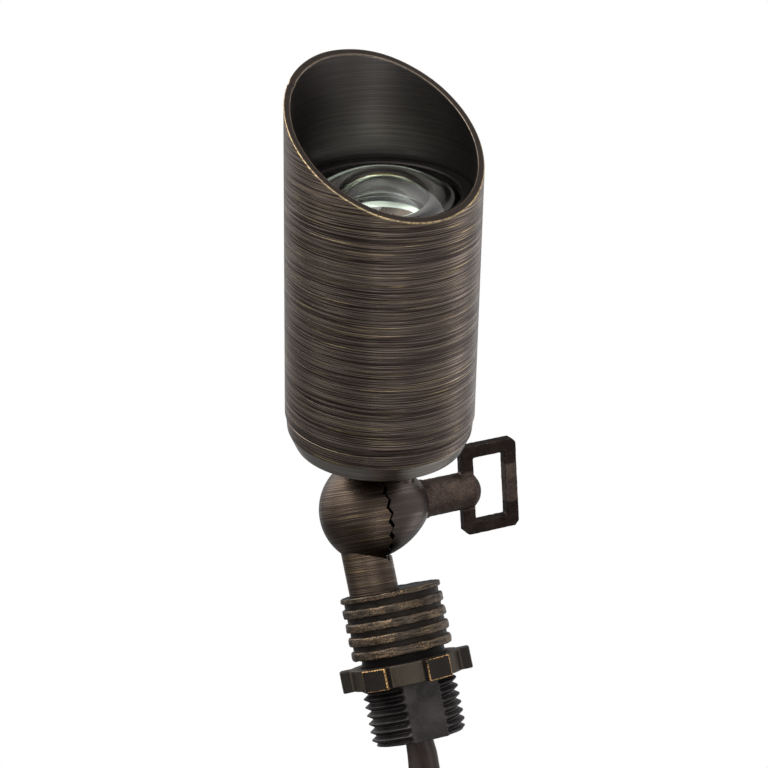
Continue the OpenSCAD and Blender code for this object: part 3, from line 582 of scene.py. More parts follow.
@dataclass(frozen=True)
class SpunMirror(SurfaceFinish):
    """Spun reflector, bronze in the middle of the bowl as a painted reflection of the shroud's brown
    inside, with polished steps between some radii.
    """

    axis: Axis
    steps: Tuple[Pair, ...] = ((8.0, 10.4), (12.2, 14.8))
    step_soft: float = 0.15
    bowl: Pair = (6.0, 9.5)
    polished: Colour = tone(236, 242, 228)
    # Bronze: painted reflection of the shroud's brown inside, in the middle of the bowl.
    bronze: Colour = tone(190, 130, 78)
    dark: Colour = tone(70, 56, 46)

    def dress(self, g: Graph, place: Wire) -> None:
        """Adds the nodes."""
        u, v, _ = self.axis.split(g, place)
        radius, soft = u.hypot(v), self.step_soft
        haze = g.noise(place, 0.8, 2.0, 0.5)
        step: Value = 0.0
        for low, high in self.steps:
            beyond = radius.rise(high - soft, high + soft)
            step = (radius.rise(low - soft, low + soft) * (1.0 - beyond)).highest(step)
        # Painted reflection: the middle of the bowl is bronze, then dark further out.
        bowl = g.mix(radius.rise(*self.bowl), self.bronze, self.dark)
        roughness = 0.2 - step * 0.1 + haze * 0.06
        colour = g.mix(step, bowl, self.polished)
        g.principled({"Base Color": colour, "Metallic": 1.0, "Roughness": roughness})


@dataclass(frozen=True)
class ClearGlass(SurfaceFinish):
    """Clear polished glass with a faint green body and a breath of dust."""

    colour: Colour = (0.93, 0.97, 0.95)
    ior: float = 1.5

    def dress(self, g: Graph, place: Wire) -> None:
        """Adds the nodes."""
        rough = g.noise(place, 0.7, 3.0, 0.6).rise(0.6, 0.8) * 0.01
        glass = {"Base Color": self.colour, "Transmission Weight": 1.0, "IOR": self.ior}
        g.principled({**glass, "Roughness": rough})


class Finish(Enum):
    """Every finish on the spotlight."""

    SHROUD = BrushedBronze("shroud_bronze", HEAD_AXIS)
    # Inside of the shroud in lighter colours than the outside: painted light for the light that falls
    # into the hood.
    SHROUD_INSIDE = BrushedBronze(
        "shroud_inside_lit_bronze", HEAD_AXIS, tone(94, 90, 88), tone(110, 105, 102),
        tone(158, 140, 118), gold_share=0.08, skew=0.0, rough=0.3, depth_mm=0.007,
    )
    RIM = CastBronze(
        "cut_face_bronze", tone(50, 44, 40), tone(88, 71, 59), tone(170, 134, 92),
        grain_per_mm=2.6, worn=0.5, rough=0.45, depth_mm=0.03,
    )
    BASE = BrushedBronze("base_bronze", HEAD_AXIS, bright_heights=(20.98,))
    BEVEL = BrushedBronze(
        "polished_band", HEAD_AXIS, tone(150, 144, 138), tone(186, 178, 170),
        tone(204, 178, 140), gold_share=0.08, skew=0.0, rough=0.16, lines_per_mm=2.6,
    )
    KNUCKLE = BrushedBronze(
        "knuckle_bronze", TUBE_AXIS, tone(76, 64, 57), tone(116, 101, 88),
        tone(190, 162, 112), gold_share=0.4, skew=0.05, rough=0.26, lines_per_mm=3.2,
    )
    UPPER_ARM = BrushedBronze(
        "upper_arm_bronze", STEM_AXIS, tone(80, 71, 67), tone(96, 86, 81),
        tone(170, 142, 104), gold_share=0.05, rough=0.22, lines_per_mm=2.0,
    )
    COLLAR = RibbedCast("cast_collar")
    THUMBSCREW = ScrewCast("cast_thumbscrew")
    NUT = BlackNutFinish("oxide_nut")
    JACKET = Jacket("lead_jacket")
    RING = CastBronze(
        "lens_ring_bronze", tone(45, 42, 41), tone(71, 63, 59), tone(120, 98, 74),
        grain_per_mm=1.2, worn=0.3, rough=0.34, depth_mm=0.015,
    )
    MIRROR = SpunMirror("reflector_mirror", HEAD_AXIS)
    GLASS = ClearGlass("lens_glass")
    # Name, the two colours, roughness, grain to a millimetre and, if it isn't 0.01, its depth
    RUBBER = PlainFinish("black_rubber", tone(22, 22, 22), tone(34, 34, 34), 0.6, 2.0, 0.03)
    WIRE = PlainFinish("wire_insulation", tone(20, 20, 21), tone(30, 30, 31), 0.35, 2.0)
    TIE = PlainFinish("tie_plastic", tone(24, 24, 25), tone(36, 36, 37), 0.5, 2.4, 0.02)
    BOARD = PlainFinish("green_board", tone(22, 78, 46), tone(30, 94, 56), 0.36, 1.0)
    WHITE_BOARD = PlainFinish("white_mask_board", tone(222, 222, 216), tone(236, 236, 232), 0.4, 1.0)
    COMPONENT = PlainFinish("component_case", tone(24, 26, 34), tone(40, 42, 52), 0.35, 1.2)
    PHOSPHOR = PlainFinish("phosphor_layer", tone(226, 196, 78), tone(240, 214, 104), 0.3, 1.6)
    BRASS = BareMetal("turned_brass", tone(168, 132, 74), tone(196, 160, 98), 0.3, 3.0)
    STEEL = BareMetal("plated_steel", tone(150, 150, 152), tone(178, 178, 180), 0.3, 3.0)
    ALUMINIUM = BareMetal("satin_aluminium", tone(188, 188, 190), tone(206, 206, 208), 0.34, 2.0)
    COPPER = BareMetal("bare_copper", tone(182, 110, 76), tone(214, 150, 110), 0.32, 4.0, 0.05)

    def material(self) -> bpy.types.Material:
        """The finish's material, built once."""
        return bpy.data.materials.get(self.value.name) or self.value.build()


# Mesh making


def new_object(name: str, data: bpy.types.ID) -> bpy.types.Object:
    """An object in the scene.

    Args:
        name: Its name.
        data: Its mesh, camera or lamp.

    Returns:
        The object.
    """
    made = bpy.data.objects.new(name, data)
    bpy.context.scene.collection.objects.link(made)
    return made


def set_edge(mesh: bpy.types.Mesh, values: np.ndarray) -> None:
    """Stores how worn each point is."""
    layer = mesh.attributes.get("edge") or mesh.attributes.new("edge", "FLOAT", "POINT")
    layer.data.foreach_set("value", np.clip(values, 0.0, 1.0).astype(np.float32))


def rows_of(
    items: bpy.types.bpy_prop_collection, name: str, width: int, kind: type = float
) -> np.ndarray:
    """Reads a property of all points or edges of a mesh.

    Args:
        items: The points or edges.
        name: The property.
        width: Numbers in it.
        kind: Their type.

    Returns:
        A row for each point or edge.
    """
    flat = np.zeros(len(items) * width, dtype=kind)
    items.foreach_get(name, flat)
    return flat.reshape(-1, width)


def tube_of_loops(
    name: str, loops: np.ndarray, joined: bool, wear: Optional[Sequence[float]] = None
) -> bpy.types.Object:
    """A closed mesh through rings of points.

    Args:
        name: The object's name.
        loops: Points in millimetres, as rings of equal count.
        joined: Whether the last ring joins the first. If not, both ends are capped.
        wear: Wear of each ring.

    Returns:
        The new object.
    """
    rings, sides, _ = loops.shape
    faces = []
    for i in range(rings if joined else rings - 1):
        a, b = i * sides, ((i + 1) % rings) * sides
        faces += [(a + j, a + (j + 1) % sides, b + (j + 1) % sides, b + j) for j in range(sides)]
    if not joined:
        faces.append(tuple(reversed(range(sides))))
        faces.append(tuple((rings - 1) * sides + j for j in range(sides)))
    mesh = bpy.data.meshes.new(name)
    mesh.from_pydata((loops.reshape(-1, 3) * MM).tolist(), [], faces)
    work = bmesh.new()
    work.from_mesh(mesh)
    bmesh.ops.recalc_face_normals(work, faces=work.faces)
    work.to_mesh(mesh)
    work.free()
    mesh.shade_smooth()
    if wear is not None:
        set_edge(mesh, np.repeat(wear, sides))
    return new_object(name, mesh)


def turns(sides: int) -> np.ndarray:
    """Angles of the points of a ring."""
    return np.linspace(0.0, 2.0 * math.pi, sides, endpoint=False)


def moved(points: np.ndarray, place: Matrix) -> np.ndarray:
    """Points put through a matrix."""
    matrix = np.array(place)
    return points @ matrix[:3, :3].T + matrix[:3, 3]


def turned(profile: Sequence[Sequence[float]], sides: int, place: Matrix) -> np.ndarray:
    """Rings of a profile of radius and height, turned about the local Z of place."""
    rings = [[(r * math.cos(a), r * math.sin(a), z) for a in turns(sides)] for r, z, *_ in profile]
    return moved(np.array(rings), place)


def rounded(corners: Sequence[Point], steps: int) -> List[Point]:
    """Rounds a profile's corners.

    Args:
        corners: Radius, height and rounding of each corner.
        steps: Stretches on each rounding.

    Returns:
        Radius, height and wear of each point.
    """
    made: List[Point] = []
    last = len(corners) - 1
    for i, (r, z, size) in enumerate(corners):
        if size <= 0.0 or i in (0, last):
            made.append((r, z, 0.0))
            continue
        here = Vector((r, z))
        before = (Vector(corners[i - 1][:2]) - here).normalized() * size
        after = (Vector(corners[i + 1][:2]) - here).normalized() * size
        for s in (k / steps for k in range(steps + 1)):
            point = here + before * (1 - s) ** 2 + after * s**2
            made.append((point.x, point.y, 1.0))
    return made


def spread(profile: Sequence[Point], step: float) -> List[Point]:
    """Adds points along a profile so that none are further apart than step.

    Args:
        profile: Radius, height and wear of each point.
        step: The widest gap.

    Returns:
        The denser profile.
    """
    made = [profile[0]]
    for a, b in zip(profile, profile[1:]):
        count = max(1, math.ceil(math.dist(a[:2], b[:2]) / step))
        for k in range(1, count + 1):
            s = k / count
            wear = b[2] if k == count else 0.0
            made.append((a[0] + (b[0] - a[0]) * s, a[1] + (b[1] - a[1]) * s, wear))
    return made


def give(piece: bpy.types.Object, *finishes: Finish) -> None:
    """Puts finishes on a piece's material slots.

    Args:
        piece: The piece.
        finishes: One finish for each slot.
    """
    piece.data.materials.clear()
    for finish in finishes:
        piece.data.materials.append(finish.material())


def place_piece(piece: bpy.types.Object, body: str, slot: str, *nodes: str) -> None:
    """Hangs a piece on its body in place of CAD nodes.

    Args:
        piece: The piece.
        body: The CAD body that it rides on.
        slot: The record's material slot; not used.
        nodes: The CAD nodes that it stands for.
    """
    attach(piece, body)
    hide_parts(*nodes)
    LOG.info("%s rides on %s, %d points", piece.name, body, len(piece.data.vertices))


# Studio


@dataclass
class Camera:
    """The photograph's camera, measured on the knuckle's ball. Millimetres, degrees and pixels."""

    focal_px: float = 2159.0
    image_px: float = 768.0
    sensor: float = 36.0
    distance: float = 474.7
    azimuth: float = 21.68
    elevation: float = -2.34
    roll: float = 11.647
    ball_px: Pair = (373.32, 509.52)
    clip: Pair = (0.02, 60.0)

    def build(self) -> None:
        """Makes the camera and sets it as the scene's."""
        turn, lift, roll = (math.radians(x) for x in (-self.azimuth, self.elevation, self.roll))
        away = math.cos(lift)
        back = Vector((math.sin(turn) * away, -math.cos(turn) * away, math.sin(lift)))
        level = Vector((math.cos(turn), math.sin(turn), 0.0))
        above = level.cross(-back)
        right = level * math.cos(roll) - above * math.sin(roll)
        up = level * math.sin(roll) + above * math.cos(roll)
        half = self.image_px / 2
        x = (self.ball_px[0] - half) / self.focal_px * self.distance
        y = (half - self.ball_px[1]) / self.focal_px * self.distance
        place = (Vector(BALL) - (right * x + up * y - back * self.distance)) * MM
        data = bpy.data.cameras.new("camera")
        data.sensor_width = self.sensor
        data.lens = self.focal_px / self.image_px * self.sensor
        data.clip_start, data.clip_end = self.clip
        camera = new_object("camera", data)
        rows = [[right[i], up[i], back[i], place[i]] for i in range(3)]
        camera.matrix_world = Matrix(rows + [[0.0, 0.0, 0.0, 1.0]])
        bpy.context.scene.camera = camera


@dataclass(frozen=True)
class Panel:
    """A light of the room as a round patch of the world, in degrees. More focus is narrower."""

    azimuth: float
    elevation: float
    strength: float
    focus: float = 35.0

    def share(self, g: Graph, way: Wire) -> Wire:
        """How much of the panel shows each way.

        Args:
            g: The world's graph.
            way: The direction.

        Returns:
            A share from 0 to 1.
        """
        a, e = math.radians(self.azimuth), math.radians(self.elevation)
        middle = (math.sin(a) * math.cos(e), -math.cos(a) * math.cos(e), math.sin(e))
        facing = g.vector("DOT_PRODUCT", way, middle, output=1)
        return (facing * 0.5 + 0.5) ** self.focus


# Brightness of soft boxes that stand evenly round the object, for each elevation in degrees
SOFT_BOXES = {
    80: (0.28,),
    40: (1.56, 1.52, 0.10, 2.23, 2.07),
    5: (0.88, 0.34, 0.91, 0.49, 0.44, 0.18, 0.18, 0.66, 0.49),
    -25: (0.75, 0.73, 0.53, 0.55, 0.04, 0.19, 0.09, 0.08, 0.50),
    -58: (0.17, 0.04, 0.47, 0.18, 0.14, 0.04),
    -90: (0.04,),
}
# Azimuth, elevation and brightness of narrow strip lights that are added to them
STRIP_LIGHTS = (
    (344, -58, 0.59), (34, -56, 0.2), (54, -50, 0.42), (98, -28, 1.75), (133, -7, 0.75),
    (247, -18, 0.22), (259, -26, 0.07), (271, -34, 0.07), (185, 5, 0.33),
)


@dataclass
class Studio:
    """White room with soft boxes all round, a pale floor and a soft lamp. Metres and watts."""

    boxes: Tuple[Panel, ...] = tuple(
        Panel(360 * i / len(row), elevation, strength)
        for elevation, row in SOFT_BOXES.items()
        for i, strength in enumerate(row)
    )
    strips: Tuple[Panel, ...] = tuple(Panel(*row, focus=142.0) for row in STRIP_LIGHTS)
    highlight: Panel = Panel(346, -29, 5.0, focus=300.0)
    floor_z: float = -0.215
    floor_size: float = 6.0
    fade: Pair = (0.25, 1.1)
    spots_per_m: float = 30.0
    lamp_place: Point = (-0.5, -0.35, 1.1)
    lamp_aim: Point = (0.0, 0.0, 0.05)
    lamp_size: float = 0.9
    lamp_power: float = 6.0

    def build(self) -> None:
        """Makes the world, the floor and the lamp."""
        self._world()
        self._floor()
        self._lamp()

    def _world(self) -> None:
        """Room of soft boxes, blended into each other, with strips on top. The camera sees white."""
        world = bpy.data.worlds.new("studio")
        world.use_nodes = True
        bpy.context.scene.world = world
        g = Graph(world.node_tree)
        way = g.out("ShaderNodeTexCoord", None, None, "Generated")
        light: Value = 0.0
        shares: Value = 0.0
        for panel in self.boxes:
            share = panel.share(g, way)
            light = share * panel.strength + light
            shares = share + shares
        light = light / shares
        for panel in (*self.strips, self.highlight):
            light = panel.share(g, way) * panel.strength + light
        room = g.out("ShaderNodeBackground", None, {"Color": WHITE, "Strength": light})
        white = g.out("ShaderNodeBackground", None, {"Color": WHITE, "Strength": 1.0})
        both = g.out("ShaderNodeMixShader", None, {0: g.seen(), 1: room, 2: white})
        g.node("ShaderNodeOutputWorld", None, {"Surface": both})

    def _floor(self) -> None:
        """Pale floor that fades into the white room and keeps the object's shadow."""
        half = self.floor_size / 2
        corners = [(-half, -half, 0), (half, -half, 0), (half, half, 0), (-half, half, 0)]
        mesh = bpy.data.meshes.new("floor")
        mesh.from_pydata(corners, [], [(0, 1, 2, 3)])
        floor = new_object("floor", mesh)
        floor.location = (0.0, 0.0, self.floor_z)
        material, g = start_material("pale_floor")
        place = g.out("ShaderNodeTexCoord", None, None, "Object")
        far = g.vector("LENGTH", place, output=1).rise(*self.fade)
        spots = g.noise(place, self.spots_per_m, 3.0)
        colour = g.mix(spots, tone(248, 248, 248), tone(254, 254, 254))
        matt = g.out("ShaderNodeBsdfDiffuse", None, {"Color": colour})
        white = g.out("ShaderNodeEmission", None, {"Color": WHITE, "Strength": 1.0})
        share = g.seen() * (0.5 + far * 0.5)
        both = g.out("ShaderNodeMixShader", None, {0: share, 1: matt, 2: white})
        g.node("ShaderNodeOutputMaterial", None, {"Surface": both})
        mesh.materials.append(material)
        floor.visible_glossy = False

    def _lamp(self) -> None:
        """Area lamp that faces the object."""
        data = bpy.data.lights.new("top_lamp", "AREA")
        data.size = self.lamp_size
        data.energy = self.lamp_power
        lamp = new_object("top_lamp", data)
        lamp.location = self.lamp_place
        lamp.rotation_mode = "QUATERNION"
        way = Vector(self.lamp_aim) - Vector(self.lamp_place)
        lamp.rotation_quaternion = way.to_track_quat("-Z", "Y")


# The spotlight's own pieces, sizes in millimetres and degrees


@dataclass
class Lead:
    """Flat twin lead: a free run out of the shank, then a tied hank and split ends."""

    width: float = 7.6
    thick: float = 3.8
    shank_end: float = -12.7
    steps: Tuple[Pair, ...] = (
        (-0.3, 0.0), (-0.3, -2.0), (-0.3, -4.0), (-0.5, -6.5), (-0.8, -9.5), (-1.2, -12.5),
        (-1.5, -15.5), (-1.7, -18.5), (-1.9, -21.5), (-2.0, -25.0), (-2.0, -28.5), (-2.0, -32.0),
        (-2.0, -36.0),
    )
    twist: float = -76.0
    lead_in: float = 9.0
    radius: float = 23.0
    run: float = 96.0
    step: float = 4.8
    layer: float = 8.5
    waist: float = 11.0
    loops: float = 3.0
    climb_from: float = 1.5
    climb_to: float = 1.75
    tail: float = 16.0
    points_per_loop: int = 96

    def free_route(self) -> np.ndarray:
        """Listed points from the shank down to the hank."""
        return np.array([(x, 0.0, self.shank_end + z) for x, z in self.steps])

    def hank_route(self) -> np.ndarray:
        """Works out the hank, from the end of the free run to the split.

        Returns:
            Points along it.
        """
        inner = self.radius - self.climb_to * self.step
        outward = (self.radius - inner) / (self.loops - self.climb_to)
        half = self.run / 2
        start = self.free_route()[-1]
        centre = start - np.array([0.0, self.radius, half + self.lead_in])
        quarter = self.points_per_loop // 4
        points = [start, start - np.array([0.0, 0.0, self.lead_in / 2])]
        for i in range(int(self.loops * self.points_per_loop) + quarter + 1):
            turn = i / self.points_per_loop
            leg, share = (i // quarter) % 4, (i % quarter) / quarter
            if turn < self.climb_to:
                r = self.radius - self.step * turn
            else:
                r = min(self.radius, inner + outward * (turn - self.climb_to))
            climb = (turn - self.climb_from) / (self.climb_to - self.climb_from)
            rise = min(1.0, max(0.0, climb))
            x = self.layer * (1.0 - math.cos(math.pi * rise)) / 2
            down = half - self.run * share
            waist = self.waist * math.cos(math.pi * down / self.run) ** 2
            a = math.pi * share
            y, z = (
                (r - waist, down),
                (r * math.cos(a), -half - r * math.sin(a)),
                (waist - r, -down),
                (-r * math.cos(a), half + r * math.sin(a)),
            )[leg]
            points.append(centre + np.array([x, y, z]))
        end = points[-1]
        points += [end - np.array([0.0, 0.0, self.tail * s]) for s in (0.25, 0.5, 0.75, 1.0)]
        return np.array(points)

    def section(self) -> np.ndarray:
        """Works out the outline of the twin jacket with its two grooves.

        Returns:
            Points across the width and the thickness.
        """
        wire, side = self.thick / 2, self.width / 2 - self.thick / 2

        def lobe(middle: float, first: int) -> List[Pair]:
            """Round side of one wire, in six steps of 25 degrees from its first angle."""
            angles = [math.radians(first + 25 * k) for k in range(7)]
            return [(middle + wire * math.cos(a), wire * math.sin(a)) for a in angles]

        top = [(side * 0.55, wire * 0.9), (0.0, wire * 0.6), (-side * 0.55, wire * 0.9)]
        return np.array(lobe(side, -75) + top + lobe(-side, 105) + [(-x, -y) for x, y in top])

    def smooth_free(self) -> Tuple[np.ndarray, np.ndarray]:
        """Works out the free run as a smooth curve through its listed points.

        Returns:
            Points along it, and the twist at each.
        """
        hand = self.free_route()
        rows = [2 * hand[0] - hand[1], *hand, 2 * hand[-1] - hand[-2]]
        points, twists = [], []
        for i in range(1, len(rows) - 2):
            p0, p1, p2, p3 = rows[i - 1 : i + 3]
            bend, sway = 2 * p0 - 5 * p1 + 4 * p2 - p3, 3 * p1 - p0 - 3 * p2 + p3
            for s in (0.0, 0.25, 0.5, 0.75):
                points.append(0.5 * (2 * p1 + (p2 - p0) * s + bend * s**2 + sway * s**3))
                twists.append(self.twist * (1 - (i - 1 + s) / (len(hand) - 1)))
        return np.array(points), np.array(twists)

    def build(self) -> None:
        free, twists = self.smooth_free()
        hank = self.hank_route()
        path = np.vstack([free, hank])
        angle = np.radians(np.concatenate([twists, np.zeros(len(hank))]))
        wide = np.stack([np.cos(angle), np.sin(angle), np.zeros(len(path))], axis=1)
        along = np.gradient(path, axis=0)
        along /= np.linalg.norm(along, axis=1)[:, None]
        thin = np.cross(along, wide)
        thin /= np.linalg.norm(thin, axis=1)[:, None]
        flat = np.cross(thin, along)
        x, y = self.section().T[:, None, :, None]
        loops = path[:, None, :] + flat[:, None, :] * x + thin[:, None, :] * y
        lead = tube_of_loops("twin_lead", loops, False)
        give(lead, Finish.JACKET)
        place_piece(lead, "stem", "brown_lead", "cord", "cord_hank")


@dataclass
class Shroud:
    """Slant-cut tube that turns on the head, with a small nick in its cut edge."""

    outer: float = 20.4
    inner: float = 19.0
    base: float = 24.2
    length: float = 63.4
    cut: float = 29.7
    turn: float = 9.0
    chamfer: float = 0.35
    side_drop: float = 1.0
    edge_drop: float = 0.5
    soft: float = 0.13
    wave: float = 0.08
    nick_at: float = 131.5
    nick_half: float = 1.1
    nick_depth: float = 0.5
    sides: int = 288
    rows: int = 46

    def rim(self, radius: float, drop: float) -> np.ndarray:
        """Follows the cut face round the tube.

        Args:
            radius: Distance from the tube's axis.
            drop: Distance below the face.

        Returns:
            The height at each angle.
        """
        angle = turns(self.sides)
        slope = math.tan(math.radians(self.cut)) * np.sin(angle)
        places = [Vector((3 * math.cos(a), 3 * math.sin(a), 7.0)) for a in angle]
        wavy = np.array([noise.noise(place) for place in places]) * self.wave
        far = (np.degrees(angle) - self.nick_at) / self.nick_half
        return self.length + radius * slope + wavy - np.exp(-(far**2)) * self.nick_depth - drop

    def rings(self) -> List[Tuple[float, np.ndarray, float]]:
        """Works out the rings up the outside, over the cut face and down the inside.

        Returns:
            Radius, heights and wear of each.
        """
        flat = np.zeros(self.sides)
        shares = [(k / (self.rows + 1)) ** 0.9 for k in range(1, self.rows + 1)]
        rise = self.rim(self.outer, self.side_drop) - self.chamfer
        hollow = self.rim(self.inner, self.side_drop)
        soft = self.soft
        rounding = ((self.edge_drop, 0.0), (2 * soft, 0.0), (0.6 * soft, 0.3 * soft), (0.0, soft))
        edge = [
            (self.outer - inset, drop, worn)
            for (drop, inset), worn in zip(rounding, (0.0, 0.5, 1.0, 0.9))
        ]
        edge += [(self.outer + (self.inner - self.outer) * s, 0.0, 0.05) for s in (0.25, 0.5, 0.75)]
        edge += [
            (self.inner + inset, drop, worn)
            for (drop, inset), worn in zip(reversed(rounding), (0.7, 0.9, 0.4, 0.0))
        ]
        return [
            (self.inner, flat, 0.0),
            (self.outer - self.chamfer, flat, 0.0),
            (self.outer, flat + self.chamfer, 0.0),
            *((self.outer, self.chamfer + s * rise, 0.0) for s in shares),
            *((radius, self.rim(radius, drop), worn) for radius, drop, worn in edge),
            *((self.inner, s * hollow, 0.0) for s in reversed(shares)),
        ]

    def build(self) -> None:
        """Makes the shroud's mesh and dresses its outside, inside and cut face."""
        cos, sin = np.cos(turns(self.sides)), np.sin(turns(self.sides))
        rings = self.rings()
        loops = np.array([np.stack([r * cos, r * sin, z], axis=1) for r, z, _ in rings])
        turn = Matrix.Rotation(math.radians(self.turn), 4, "Z")
        place = HEAD @ turn @ Matrix.Translation((0, 0, self.base))
        wear = [worn for _, _, worn in rings]
        shroud = tube_of_loops("shroud_tube", moved(loops, place), True, wear)
        give(shroud, Finish.SHROUD, Finish.SHROUD_INSIDE, Finish.RIM)
        # Three rows of faces at the foot and three on the rounded edge lie before the cut face
        first_rim, rim_rows = 3 + self.rows + 3, 4
        for i, face in enumerate(shroud.data.polygons):
            row = i // self.sides - first_rim
            face.material_index = 0 if row < 0 else 2 if row < rim_rows else 1
        place_piece(shroud, "shroud", "brushed_bronze", "shroud")


@dataclass
class HeadBase:
    """Turned base with its polished band, and the housing inside the shroud."""

    bottom_r: float = 18.1
    bottom_t: float = 17.0
    bottom_round: float = 0.7
    edge_r: float = 19.9
    edge_t: float = 21.0
    edge_round: float = 0.12
    shoulder_r: float = 20.2
    shoulder_t: float = 24.2
    shoulder_round: float = 0.3
    housing_r: float = 18.7
    housing_top: float = 73.8
    housing_round: float = 0.1
    groove_r: float = 17.7
    grooves: Tuple[Pair, ...] = ((31.2, 33.2), (64.8, 66.8))
    band_gaps: Pair = (0.05, 0.8)
    bore_r: float = 5.0
    floor_t: float = 20.8
    inside: Tuple[Pair, ...] = ((17.3, 73.8), (17.3, 69.7), (16.4, 69.7), (16.4, 57.2), (15.4, 57.2))
    grid: float = 1.0
    sides: int = 224

    def profile(self) -> List[Point]:
        """Works out the section from the bore, up the outside and down the inside.

        Returns:
            Radius, height and wear of each point.
        """
        seals = [
            corner
            for low, high in self.grooves
            for corner in (
                (self.housing_r, low), (self.groove_r, low), (self.groove_r, high), (self.housing_r, high)
            )
        ]
        well = (*self.inside, (self.inside[-1][0], self.floor_t), (self.bore_r, self.floor_t))
        corners = [
            (self.bore_r, self.bottom_t, 0.0),
            (self.bottom_r, self.bottom_t, self.bottom_round),
            (self.edge_r, self.edge_t, self.edge_round),
            (self.shoulder_r, self.shoulder_t, self.shoulder_round),
            (self.housing_r, self.shoulder_t, 0.0),
            *((r, t, 0.0) for r, t in seals),
            (self.housing_r, self.housing_top, self.housing_round),
            *((r, t, 0.0) for r, t in well),
        ]
        return spread(rounded(corners, 5), self.grid)

    def build(self) -> None:
        """Makes the base and dresses it."""
        profile = self.profile()
        base = tube_of_loops("turned_base", turned(profile, self.sides, HEAD), True)
        give(base, Finish.BASE, Finish.BEVEL)
        top, foot = self.edge_t - self.band_gaps[0], self.bottom_r - self.band_gaps[1]
        band = {i for i, (r, t, _) in enumerate(profile) if t < top and r > foot}
        for i, face in enumerate(base.data.polygons):
            face.material_index = int(i // self.sides in band)
        place_piece(base, "head", "brushed_bronze", "lamp_base")


@dataclass
class LampLens:
    """Domed lens, hollow under its middle, with the flange that its ring holds."""

    dome_r: float = 15.6
    flange_r: float = 17.2
    bottom_t: float = 70.9
    flange_t: float = 73.5
    apex_t: float = 79.1
    hollow_r: float = 8.0
    hollow_t: float = 73.4
    sides: int = 256
    steps: int = 40

    def dome(self, top: float, radius: float, foot: float) -> List[Pair]:
        """Works out a dome from its top to its foot.

        Args:
            top: Height of the top.
            radius: Radius of the foot.
            foot: Height of the foot.

        Returns:
            Radius and height of each point.
        """
        rise = top - foot
        sphere = (radius**2 + rise**2) / (2.0 * rise)
        angles = np.linspace(0.001, math.asin(radius / sphere), self.steps)
        return [(sphere * math.sin(a), top - sphere + sphere * math.cos(a)) for a in angles]

    def build(self) -> None:
        """Makes the lens and dresses it."""
        profile = self.dome(self.apex_t, self.dome_r, self.flange_t)
        profile += [(self.flange_r, self.flange_t), (self.flange_r, self.bottom_t)]
        profile += self.dome(self.hollow_t, self.hollow_r, self.bottom_t)[::-1]
        lens = tube_of_loops("domed_lens", turned(profile, self.sides, HEAD), False)
        give(lens, Finish.GLASS)
        place_piece(lens, "head", "glass", "lens")


